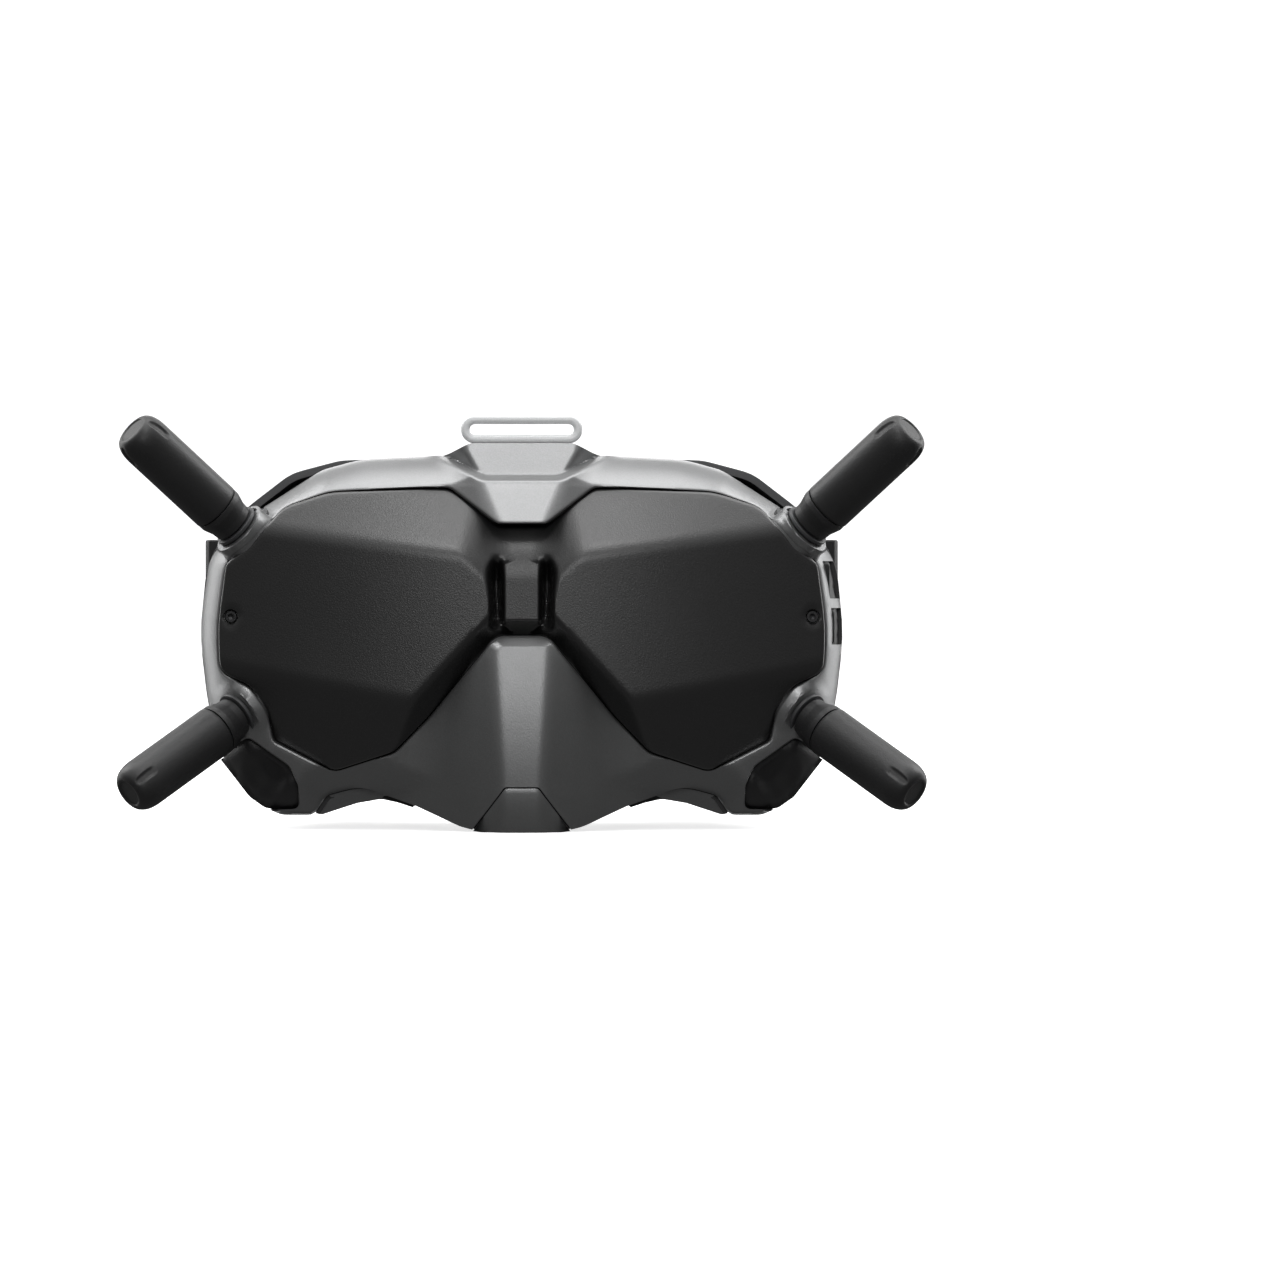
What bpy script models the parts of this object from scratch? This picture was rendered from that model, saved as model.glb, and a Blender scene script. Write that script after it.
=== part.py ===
"""Head-worn video goggles as separate solids. Left is the wearer's left, +X. The front faces -Y, +Z is up.

Points are written (x, depth, z) in millimetres. Depth runs backward from the foremost line of the nose.
"""
import math

import bmesh
import bpy
from mathutils import Matrix, Vector
from mathutils.geometry import delaunay_2d_cdt

MM = 0.001
MID_DEPTH = 59.91
GAP = 0.3
SLIVER = 0.001

SHELL_BACK = 40.0
SHELL_WALL = 1.8
RECESS_WALL = 0.7
SKIN_DROP = 3.4
FLOOR_DROP = 3.2
VISOR_THICK = 2.0
RIM_REACH = 9.0
RIM_DROP = 16.0
BOSS_RADIUS = 8.4
BOSS_FLARE = 11.0
BOSS_CLEARANCE = 0.8
SHELF_SLOPE = 4.0
BLOCK_SLOPE = 0.42
REAR_FRONT = SHELL_BACK + GAP
REAR_BACK = 76.0
REAR_WALL = 2.2
REAR_TAPER = 0.935
TAPER_CENTRE = 57.0
PLATE_FRONT = REAR_BACK + GAP
PLATE_BACK = PLATE_FRONT + 2.5
FOAM_FRONT = PLATE_BACK + GAP
FOAM_MIDDLE_BACK = 106.0
FOAM_SIDE_BACK = 122.0
FOAM_HALF_WIDTH = 84.0

EYE_X = 32.0
EYE_Z = 62.0
BARREL_RADIUS = 17.6
BARREL_BORE = 16.2
SPACING_TRAVEL = 3.0
ROD_Z = 86.0
ROD_DEPTH = 55.0
ROD_RADIUS = 1.3

SLEEVE_RADIUS = 7.25
SLEEVE_LENGTH = 34.0
NECK_LENGTH = 8.0
COLLAR_RADIUS = 6.8
LOOP_AXIS = (0.0, 36.6, 111.1)

# Antenna ring centres on the right-hand side, with the angle in the front view and the forward lean.
ANTENNA_SEATS = {
    "upper": ((80.8, 22.0, 86.1), math.radians(43.4), math.radians(23.0)),
    "lower": ((80.6, 24.0, 32.4), math.radians(-36.5), math.radians(31.0)),
}

# Half outlines from the top middle to the bottom middle: x, z and corner radius.
SHELL_EDGE = (
    (0, 109.6, 0), (14.6, 109.6, 4), (21.5, 106.3, 8), (46, 105.2, 30), (57, 102.2, 14), (73.6, 91.6, 12),
    (88.8, 78, 12), (92, 57, 60), (89.8, 38, 60), (86, 19.5, 9), (76.5, 7.4, 9), (68.5, 3.9, 6),
    (59.4, 3.9, 2.6), (55.6, 9.6, 4), (46, 12.2, 14), (30, 7.0, 14), (17.2, 1.4, 10), (11, 0, 3),
    (0, 0, 0),
)
REAR_EDGE = (
    (0, 106, 0), (30, 106, 20), (52, 105.2, 18), (66, 101.5, 16), (79, 91.5, 20), (90, 77, 24),
    (92, 57, 60), (89.8, 38, 60), (86, 21, 10), (77, 9.5, 10), (67, 7, 8), (52, 13, 12), (32, 10.5, 10),
    (20, 11.5, 7), (13, 36, 12), (0, 41.5, 0),
)
FOAM_HOLE = (
    (0, 87, 0), (40, 87, 18), (64, 79, 16), (72, 58, 26), (66, 32, 14), (50, 27, 10), (31, 29, 8),
    (20, 42, 6), (0, 53, 0),
)
VISOR_EDGE = (
    (0, 86.1, 0), (7.0, 86.1, 1.5), (20.5, 96.4, 4), (28, 96.4, 8), (54, 95.4, 20), (67.2, 91.2, 10),
    (76, 80.8, 4),
    (83.4, 75.4, 3), (85.8, 58, 60), (85.2, 44.8, 5), (76.5, 41, 8), (71.6, 34, 12), (69.9, 25.4, 2),
    (53, 16.8, 5), (36, 22.4, 6), (26, 32.6, 30), (7.8, 54.4, 3), (5.6, 55.2, 1), (0, 55.2, 0),
)
NOSE_COVER_EDGE = (
    (-4.6, 12.4, 1.2), (4.6, 12.4, 1.2), (13.0, 1.2, 0), (11, 0, 0), (-11, 0, 0), (-13.0, 1.2, 0),
)
VENT_EDGE = (
    (77.3, 26.0, 2), (65.9, 18, 4), (63.4, 12.5, 4), (63.6, 5.9, 2), (73, 5.6, 4), (77.8, 9.0, 0),
    (86.0, 19.6, 0),
)
VENT_CUT = (
    (77.3, 26.0, 2), (65.9, 18, 4), (63.4, 12.5, 4), (63.6, 5.9, 2), (73, 5.6, 4), (80, 4.5, 0),
    (92, 18.5, 0),
)
LOWER_COVER_EDGE = (
    (58.2, 4.4, 0.8), (55.0, 8.8, 3.5), (46, 11.6, 12), (34, 8.0, 4), (30.5, 6.8, 0),
    (30.5, 6.2, 0), (40, 8.4, 6), (47, 7.2, 6), (57, 3.9, 0.8),
)

NOSE_COVER_BACK = 6.0
SCREW_SEAT = (82.0, 0.0, 60.4)
SCREW_PROFILE = (
    (0, 20.0), (0.8, 20.0), (0.8, 18.9), (1.75, 18.9), (1.75, 20.6), (0.85, 20.6), (0.85, 25.5), (0, 25.5),
)
SOCKET_PROFILE = ((0, -16.0), (4.6, -16.0), (4.6, -1.0), (7.5, -1.0), (8.2, 14.0), (0, 14.0))
COLLAR_PROFILE = (
    (0, -8.0), (4.2, -8.0), (4.2, -0.7), (COLLAR_RADIUS, -0.7), (COLLAR_RADIUS, 0.5), (3.0, 0.5), (3.0, 5.0),
    (0, 5.0),
)
NECK_PROFILE = (
    (3.3, 0.8), (6.2, 0.8), (6.2, 3.4), (SLEEVE_RADIUS - 0.1, 6.4), (SLEEVE_RADIUS - 0.1, NECK_LENGTH),
    (3.3, NECK_LENGTH),
)
SLEEVE_PROFILE = ((0, NECK_LENGTH + GAP), (SLEEVE_RADIUS, NECK_LENGTH + GAP),
                  (SLEEVE_RADIUS, NECK_LENGTH + SLEEVE_LENGTH - 4.5),
                  (SLEEVE_RADIUS - 0.7, NECK_LENGTH + SLEEVE_LENGTH - 2.0),
                  (SLEEVE_RADIUS - 2.8, NECK_LENGTH + SLEEVE_LENGTH), (0, NECK_LENGTH + SLEEVE_LENGTH))
LOOP_BAR = 1.25
LOOP_RISE = 5.5
LOOP_WIDTH = 34.7
ANCHOR_PLAN = (
    (88.0, 58.0), (90.4, 58.0), (91.6, 60.0), (91.6, 88.0), (90.4, 90.0), (88.6, 90.0), (88.6, 72.0),
    (87.2, 70.0), (87.2, 60.0),
)
ANCHOR_RISE = (69.7, 82.8)
ANCHOR_SLOT_DEPTH = (79.0, 86.0)
ANCHOR_SLOT_Z = (71.6, 80.9)
KEY_DEPTH = (27.4, 36.4)
CHANNEL_KEYS = {"channel_up_button": (65.6, 76.2), "channel_down_button": (52.5, 62.9)}
KEY_FACE = {"channel_up_button": 87.4, "channel_down_button": 88.8}
TOP_HOLES = ((-27.0, 57.0, 6.2), (-45.0, 63.0, 3.6), (-45.0, 51.0, 3.6))
FIVE_WAY_PIVOT = 98.5
INSERT_DEPTH = 57.0
INSERT_LENGTH = 8.0
# Inserts in the rear casing's sides: side, height, width (front to back), height of the piece, material.
SIDE_INSERTS = {
    "channel_display": (1, 46.0, 9.0, 11.0, "screen_glass"),
    "usb_port": (1, 34.0, 10.4, 4.6, "black_plastic"),
    "card_slot": (1, 26.0, 13.0, 3.6, "black_plastic"),
    "link_button": (-1, 46.0, 4.0, 4.0, "black_plastic"),
    "power_port": (-1, 36.5, 9.0, 9.0, "black_plastic"),
    "audio_port": (-1, 26.5, 7.0, 7.0, "black_plastic"),
}
PORT_MOUTHS = {
    "usb_port": (8.8, 3.0), "card_slot": (11.2, 1.3), "power_port": (5.8, 5.8), "audio_port": (4.0, 4.0),
}
PORT_PIN_RING = 1.9
KNOB_TOP = 14.0
KNOB_FRONT = (
    (28.5, 14.0), (35.5, 14.0), (35.5, 8.8), (34.2, 7.8), (33.0, 8.8), (32.0, 7.8), (31.0, 8.8), (29.8, 7.8),
    (28.5, 8.8),
)
FAN_Z = 78.0
FAN_BLADES = 7
# One blade of the fan: angle from the blade's start and radius.
BLADE_CORNERS = ((0.0, 5.0), (0.22, 9.0), (0.34, 12.8), (0.52, 12.8), (0.42, 9.0), (0.45, 5.0))
BOARD_EDGE = (
    (-60, 40), (-60, 80), (-52, 88), (52, 88), (60, 80), (60, 40), (50, 30), (16, 42), (-16, 42), (-50, 30),
)
SINK_FRONT = 23.8
SINK_ROOT = 28.2
SINK_GAPS = 8
FIVE_WAY_BASE = ((0, 94.6), (6.9, 94.6), (6.9, 99.0), (5.9, 99.0), (5.9, 96.0), (0, 96.0))
FIVE_WAY_CAP = ((0, 104.2), (5.0, 104.2), (5.2, 105.4), (4.4, 106.4), (2.2, 106.6), (0, 106.2))

# Corners of the raised eye panel on the positive side, inner top round to lower outer.
EYE_TOP_OUT = (60.8, 83.6)
EYE_TOP_IN = (15.9, 77.9)
EYE_SIDE_TOP = (10.2, 72.2)
EYE_SIDE_LOW = (8.2, 60.9)
EYE_LOW_IN = (28.1, 39.5)
EYE_LOW_MID = (35.5, 37.1)
EYE_LOW_OUT = (59.9, 41.6)

MATERIALS = {
    "silver_paint": ((0.36, 0.37, 0.375), 0.36, 0.55),
    "visor_black": ((0.022, 0.022, 0.023), 0.55, 0.0),
    "dark_casing": ((0.07, 0.072, 0.075), 0.5, 0.1),
    "antenna_black": ((0.016, 0.016, 0.017), 0.48, 0.0),
    "loop_grey": ((0.62, 0.63, 0.635), 0.28, 0.0),
    "face_foam": ((0.03, 0.03, 0.032), 0.95, 0.0),
    "lens_glass": ((0.7, 0.75, 0.8), 0.05, 0.0),
    "steel": ((0.5, 0.5, 0.5), 0.3, 1.0),
    "aluminium": ((0.7, 0.7, 0.72), 0.35, 1.0),
    "circuit_board": ((0.02, 0.12, 0.06), 0.5, 0.0),
    "black_plastic": ((0.03, 0.03, 0.032), 0.5, 0.0),
    "screen_glass": ((0.01, 0.01, 0.015), 0.08, 0.0),
}


def clear_scene():
    for item in list(bpy.data.objects):
        bpy.data.objects.remove(item, do_unlink=True)


def rounded(corners):
    """Replace each corner that has a radius by points on an arc."""
    points = []
    last = len(corners) - 1
    for index, (x, z, radius) in enumerate(corners):
        if radius == 0 or index in (0, last):
            points.append((float(x), float(z)))
            continue
        corner = Vector((x, z))
        before = Vector(corners[index - 1][:2]) - corner
        after = Vector(corners[index + 1][:2]) - corner
        opening = before.angle(after)
        turn = math.pi - opening
        cut = min(radius / math.tan(opening / 2), 0.48 * before.length, 0.48 * after.length)
        steps = max(1, round(turn / math.radians(24)))
        start = corner + before.normalized() * cut
        end = corner + after.normalized() * cut
        for step in range(steps + 1):
            share = step / steps
            near = start.lerp(corner, share)
            far = corner.lerp(end, share)
            points.append(tuple(near.lerp(far, share)))
    return points


def loop_corners(corners):
    """Round a closed outline, whose first and last corners meet."""
    closed = (corners[-1],) + tuple(corners) + (corners[0],)
    points = rounded(closed)[1:-1]
    area = sum(a[0] * b[1] - b[0] * a[1] for a, b in zip(points, points[1:] + points[:1]))
    return points if area < 0 else points[::-1]


def mirrored(half):
    """Close a half outline by its mirror image, keeping middle points once."""
    other = [(-x, z) for x, z in reversed(half) if x > 0]
    return list(half) + other


def spaced(loop, longest):
    """Add points so that no side is longer than given."""
    points = []
    for index, start in enumerate(loop):
        end = loop[(index + 1) % len(loop)]
        count = max(1, math.ceil(math.dist(start, end) / longest))
        for step in range(count):
            share = step / count
            x = start[0] + (end[0] - start[0]) * share
            points.append((x, start[1] + (end[1] - start[1]) * share))
    return points


def offset(loop, distance):
    """Move a closed clockwise loop outward by a distance (inward if negative)."""
    moved = []
    count = len(loop)
    for index, point in enumerate(loop):
        here = Vector(point)
        one = (here - Vector(loop[index - 1])).normalized()
        two = (Vector(loop[(index + 1) % count]) - here).normalized()
        normal = Vector((-(one.y + two.y), one.x + two.x)).normalized()
        lean = max(0.4, normal.dot(Vector((-one.y, one.x))))
        moved.append(tuple(here + normal * (distance / lean)))
    return moved


def inside(x, z, loop):
    odd = False
    for index, (x2, z2) in enumerate(loop):
        x1, z1 = loop[index - 1]
        if (z1 > z) != (z2 > z) and x < (x2 - x1) * (z - z1) / (z2 - z1) + x1:
            odd = not odd
    return odd


def edge_distance(x, z, loop):
    best = math.inf
    for index, (x2, z2) in enumerate(loop):
        x1, z1 = loop[index - 1]
        run = (x2 - x1, z2 - z1)
        length = run[0] ** 2 + run[1] ** 2
        share = 0.0 if length == 0 else ((x - x1) * run[0] + (z - z1) * run[1]) / length
        share = min(1.0, max(0.0, share))
        best = min(best, math.hypot(x - x1 - share * run[0], z - z1 - share * run[1]))
    return best


def soft_max(one, two, blend):
    close = max(blend - abs(one - two), 0.0) / blend
    return max(one, two) + close * close * blend * 0.25


def soft_min(one, two, blend):
    return -soft_max(-one, -two, blend)


def beyond(x, z, start, end):
    """Signed distance of a point to the left of the line from start to end."""
    run = Vector(end) - Vector(start)
    return ((x - start[0]) * -run.y + (z - start[1]) * run.x) / run.length


def body_depth(x, z):
    """Depth of the shell's main curve, without rim, nose and brow."""
    return 12.0 + 0.0011 * x * x + 0.0022 * (z - 62.0) ** 2


def nose_depth(x, z):
    """Depth of the nose: a ridge that narrows downward, its two side facets and its top lip."""
    ridge = 0.0026 * (z - 22.0) ** 2 + 0.0105 * max(0.0, 12.0 - z) ** 2
    half_width = 5.2 + 0.065 * max(0.0, z - 6.0)
    side = ridge + 0.82 * (abs(x) - half_width)
    lip = ridge + 1.9 * (z - 52.6)
    return soft_max(soft_max(ridge, side, 1.2), lip, 1.0)


def brow_depth(x, z):
    """Depth of the brow block: sloped front, two side facets and the shelf above it."""
    front = 6.0 + 0.58 * (z - 86.1)
    half_width = 6.9 + 0.42 * (z - 86.1)
    side = front + 0.62 * (abs(x) - half_width)
    shelf = 14.0 + SHELF_SLOPE * (z - 98.9)
    return soft_max(soft_max(front, side, 1.5), shelf, 1.0)


def block_depth(x, z):
    """Depth of the block at the top middle, behind the brow's shelf."""
    front = 23.6 + BLOCK_SLOPE * (z - 103.0)
    side = 25.0 + 1.3 * (abs(x) - 16.0)
    return soft_max(front, side, 2.0)


def rim_roll(distance):
    share = 1.0 - min(1.0, distance / RIM_REACH)
    return RIM_DROP * (0.5 * share + 0.5 * (1.0 - math.sqrt(max(0.0, 1.0 - share * share))))


def skin_depth(x, z):
    """Depth of the shell's outer skin."""
    reach = edge_distance(x, z, SHELL_LOOP)
    main = body_depth(x, z) + rim_roll(reach)
    valley = 22.0 + 1.5 * beyond(abs(x), z, (28.1, 105.9), (13.0, 97.2)) * -1.0
    main = soft_max(main, valley, 2.0) if z > 90.0 else main
    depth = soft_min(main, nose_depth(x, z), 4.0)
    if z > 80.0:
        depth = min(depth, soft_min(brow_depth(x, z), block_depth(x, z), 2.0))
    return min(depth, SHELL_BACK - SKIN_DROP - 0.6)


def visor_depth(x, z):
    """Depth of the visor's face: two raised eye panels and the bridge bar between two slots."""
    x = abs(x)
    face = 4.5 + 0.0025 * (x - 8.0) ** 2
    eye = soft_max(face, face + 0.62 * beyond(x, z, EYE_TOP_IN, EYE_TOP_OUT), 1.5)
    eye = soft_max(eye, face + 0.7 * beyond(x, z, EYE_SIDE_TOP, EYE_TOP_IN), 1.5)
    eye = soft_max(eye, face + 2.2 * beyond(x, z, EYE_SIDE_LOW, EYE_SIDE_TOP), 1.5)
    eye = soft_max(eye, face + 1.3 * beyond(x, z, EYE_LOW_IN, EYE_SIDE_LOW), 1.5)
    eye = soft_max(eye, face + 0.5 * beyond(x, z, EYE_LOW_OUT, EYE_LOW_MID), 1.5)
    bar = 8.6 + 3.0 * max(0.0, x - 5.2)
    bar = max(bar, 8.6 + 3.0 * (59.0 - z))
    above = 9.8 + 0.4 * (z - 75.5)
    bridge = max(above, 8.6) if z > 75.5 else bar
    return min(16.5 + 0.02 * x, soft_min(eye, bridge, 1.5)) if x < 16.0 else eye


def visor_back(x, z):
    return visor_depth(x, z) + VISOR_THICK


def floor_depth(x, z):
    return visor_depth(x, z) + FLOOR_DROP


def vent_depth(x, z):
    """Face of the corner vent: below the shell's skin, with a bowl in the middle."""
    bowl = max(0.0, 1.0 - ((x - 72.0) ** 2 + (z - 15.5) ** 2) / 60.0)
    return min(skin_depth(x, z) + 2.4 + 2.5 * bowl, SHELL_BACK - 2.0)


SHELL_LOOP = spaced(mirrored(rounded(SHELL_EDGE)), 9.0)
VISOR_LOOP = spaced(mirrored(rounded(VISOR_EDGE)), 9.0)
REAR_LOOP = spaced(mirrored(rounded(REAR_EDGE)), 10.0)


def triangulate(loops, lines, spacing, clear):
    """Triangles over the first loop, with the other loops and lines as sides and a grid between them."""
    points = []
    edges = []
    spans = []
    for loop in loops:
        first = len(points)
        points.extend(loop)
        spans.append((first, len(points)))
        count = len(loop)
        edges.extend((first + step, first + (step + 1) % count) for step in range(count))
    for line in lines:
        for start, end in zip(line[:-1], line[1:]):
            count = max(1, math.ceil(math.dist(start, end) / spacing))
            first = len(points)
            for step in range(count + 1):
                share = step / count
                x = start[0] + (end[0] - start[0]) * share
                points.append((x, start[1] + (end[1] - start[1]) * share))
            edges.extend((first + step, first + step + 1) for step in range(count))
    width = max(x for x, z in loops[0])
    low = min(z for x, z in loops[0])
    high = max(z for x, z in loops[0])
    sides = [(points[a], points[b]) for a, b in edges]
    columns = math.floor(width / spacing)
    rows = math.floor((high - low) / spacing)
    for column in range(-columns, columns + 1):
        for row in range(rows + 1):
            x = column * spacing
            z = low + (row + 0.5) * spacing
            if inside(x, z, loops[0]) and all(edge_distance(x, z, side) > clear for side in sides):
                points.append((x, z))
    found = delaunay_2d_cdt([Vector(point) for point in points], edges, [], 0, 1e-6, True)
    coords, origin = found[0], found[3]
    faces = []
    for face in found[2]:
        one, two, three = (coords[index] for index in face)
        middle = (one + two + three) / 3
        area = abs((two - one).cross(three - one)) / 2
        if area > SLIVER and inside(middle.x, middle.y, loops[0]):
            faces.append(face)
    where = {}
    for index, sources in enumerate(origin):
        for source in sources:
            where[source] = index
    rings = [[where[index] for index in range(first, last)] for first, last in spans]
    return [tuple(point) for point in coords], [tuple(face) for face in faces], rings


def join(*solids):
    """Put several (points, faces) lists into one."""
    points = []
    faces = []
    for some_points, some_faces in solids:
        first = len(points)
        points.extend(some_points)
        faces.extend(tuple(index + first for index in face) for face in some_faces)
    return points, faces


def sheet(loop, lines, spacing, front, back, clear=2.0):
    """A solid between a front and a back depth, over one outline."""
    flat, faces, rings = triangulate([loop], lines, spacing, clear)
    count = len(flat)
    points = [(x, front(x, z), z) for x, z in flat]
    points += [(x, back(x, z), z) for x, z in flat]
    solid = list(faces) + [tuple(index + count for index in reversed(face)) for face in faces]
    ring = rings[0]
    for index, here in enumerate(ring):
        there = ring[(index + 1) % len(ring)]
        solid.append((here, there, there + count, here + count))
    return points, solid


def prism(loop, low, high, axis=1):
    """Extrude an outline along an axis. Axis 1 takes (x, z) points, 0 (depth, z) and 2 (x, depth)."""
    def place(point, level):
        spot = list(point)
        spot.insert(axis, level)
        return tuple(spot)
    count = len(loop)
    points = [place(point, low) for point in loop] + [place(point, high) for point in loop]
    faces = [tuple(range(count)), tuple(reversed(range(count, 2 * count)))]
    for index in range(count):
        after = (index + 1) % count
        faces.append((index, after, after + count, index + count))
    return points, faces


def block(x, depth, z):
    """A box from three (low, high) pairs."""
    return prism([(x[0], z[0]), (x[0], z[1]), (x[1], z[1]), (x[1], z[0])], depth[0], depth[1])


def turned(profile, segments, base=(0, 0, 0), axis=(0, 0, 1), hollow=False):
    """Turn (radius, height) points about an axis through base. Radius 0 closes an end at a point."""
    along = Vector(axis).normalized()
    frame = along.to_track_quat("Z", "Y").to_matrix()
    points = []
    rings = []
    for radius, height in profile:
        ring = []
        count = 1 if radius == 0 else segments
        for step in range(count):
            angle = 2 * math.pi * (step + 0.5) / segments
            local = Vector((radius * math.cos(angle), radius * math.sin(angle), height))
            ring.append(len(points))
            points.append(tuple(Vector(base) + frame @ local))
        rings.append(ring)
    faces = []
    pairs = list(zip(rings[:-1], rings[1:]))
    if hollow:
        pairs.append((rings[-1], rings[0]))
    for low, high in pairs:
        for step in range(segments):
            after = (step + 1) % segments
            corners = [low[step % len(low)], low[after % len(low)]]
            corners += [high[after % len(high)], high[step % len(high)]]
            kept = []
            for corner in corners:
                if corner not in kept:
                    kept.append(corner)
            if len(kept) > 2:
                faces.append(tuple(kept))
    if not hollow:
        for ring in (rings[0], rings[-1]):
            if len(ring) > 1:
                faces.append(tuple(ring))
    return points, faces


def tube(outer, inner, low, high, segments, base=(0, 0, 0), axis=(0, 0, 1)):
    profile = [(inner, low), (outer, low), (outer, high), (inner, high)]
    return turned(profile, segments, base, axis, hollow=True)


def flip(solid):
    """Mirror to the wearer's right."""
    points, faces = solid
    return [(-x, depth, z) for x, depth, z in points], faces


def make(name, solid, material, origin=(0.0, MID_DEPTH, 0.0), smooth=35.0):
    """Make a named object from points in millimetres, with its origin at the given point."""
    points, faces = solid
    mesh = bpy.data.meshes.new(name)
    shape = bmesh.new()
    verts = []
    for point in points:
        verts.append(shape.verts.new([(value - start) * MM for value, start in zip(point, origin)]))
    for face in faces:
        shape.faces.new([verts[index] for index in face])
    bmesh.ops.recalc_face_normals(shape, faces=shape.faces)
    shape.to_mesh(mesh)
    shape.free()
    item = bpy.data.objects.new(name, mesh)
    item.location = (origin[0] * MM, (origin[1] - MID_DEPTH) * MM, origin[2] * MM)
    bpy.context.scene.collection.objects.link(item)
    if material:
        mesh.materials.append(bpy.data.materials[material])
    mesh.shade_smooth()
    mesh.set_sharp_from_angle(angle=math.radians(smooth))
    return item


def boolean(item, solid, operation="DIFFERENCE"):
    cutter = make(item.name + "_" + operation.lower(), solid, None)
    cutter.hide_render = True
    cutter.display_type = "WIRE"
    change = item.modifiers.new(operation.title(), "BOOLEAN")
    change.object = cutter
    change.operation = operation
    change.solver = "EXACT"
    return cutter


def bevel(item, width, segments=1):
    change = item.modifiers.new("Bevel", "BEVEL")
    change.width = width * MM
    change.segments = segments
    change.limit_method = "ANGLE"
    change.angle_limit = math.radians(50)


def add_materials():
    for name, (colour, roughness, metallic) in MATERIALS.items():
        made = bpy.data.materials.new(name)
        made.use_nodes = True
        shader = made.node_tree.nodes["Principled BSDF"]
        shader.inputs["Base Color"].default_value = (*colour, 1.0)
        shader.inputs["Roughness"].default_value = roughness
        shader.inputs["Metallic"].default_value = metallic


def seat(level, side):
    """Ring centre and axis of one antenna. Side is 1 for the wearer's left."""
    centre, rise, lean = ANTENNA_SEATS[level]
    axis = (side * math.cos(lean) * math.cos(rise), -math.sin(lean), math.cos(lean) * math.sin(rise))
    return (side * centre[0], centre[1], centre[2]), axis


def both(points):
    """A line and its mirror image."""
    return [list(points), [(-x, z) for x, z in points]]


def shell_solid():
    """Cup-shaped front shell: outer skin with the visor's recess, straight sides and an inner skin."""
    recess_top = offset(VISOR_LOOP, 0.35)
    recess_low = offset(VISOR_LOOP, 0.05)
    lines = eye_lines()
    lines += both([(7.6, 48.5), (7.2, 30), (6.2, 15)])
    lines += both([(6.0, 89.6), (10.6, 97.6), (14.6, 100.8), (24.0, 102.6)])
    lines += [[(-11.0, 98.4), (11.0, 98.4)], [(-13.0, 103.0), (13.0, 103.0)], [(-6.0, 52.4), (6.0, 52.4)]]
    flat, faces, rings = triangulate([SHELL_LOOP, recess_top, recess_low], lines, 9.0, 3.0)
    on_top = set(rings[1])
    inner_edge = dict(zip(rings[0], offset(SHELL_LOOP, -SHELL_WALL)))
    inner_recess = dict(zip(rings[1], offset(VISOR_LOOP, 0.35 + RECESS_WALL)))
    outer = []
    inner = []
    for index, (x, z) in enumerate(flat):
        low = index not in on_top and inside(x, z, recess_top)
        depth = floor_depth(x, z) if low else skin_depth(x, z)
        outer.append((x, depth, z))
        x, z = inner_edge.get(index, inner_recess.get(index, (x, z)))
        inner.append((x, depth + SKIN_DROP, z))
    count = len(flat)
    ring = rings[0]
    size = len(ring)
    points = outer + inner
    points += [(flat[index][0], SHELL_BACK, flat[index][1]) for index in ring]
    points += [(inner_edge[index][0], SHELL_BACK, inner_edge[index][1]) for index in ring]
    solid = list(faces) + [tuple(index + count for index in reversed(face)) for face in faces]
    for step, here in enumerate(ring):
        after = (step + 1) % size
        there = ring[after]
        outer_here, outer_there = 2 * count + step, 2 * count + after
        inner_here, inner_there = outer_here + size, outer_there + size
        solid.append((here, there, outer_there, outer_here))
        solid.append((outer_here, outer_there, inner_there, inner_here))
        solid.append((inner_here, inner_there, there + count, here + count))
    return points, solid


def eye_lines():
    """Creases of the two raised eye panels and the bridge bar."""
    panel = [EYE_TOP_OUT, EYE_TOP_IN, EYE_SIDE_TOP, EYE_SIDE_LOW, EYE_LOW_IN, EYE_LOW_MID, EYE_LOW_OUT]
    lines = both(panel)
    lines += both([(5.2, 75.3), (5.2, 59.2)])
    lines += both([(7.0, 75.3), (6.7, 59.2)])
    lines.append([(-5.2, 75.3), (5.2, 75.3)])
    lines.append([(-5.2, 59.2), (5.2, 59.2)])
    return lines


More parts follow.
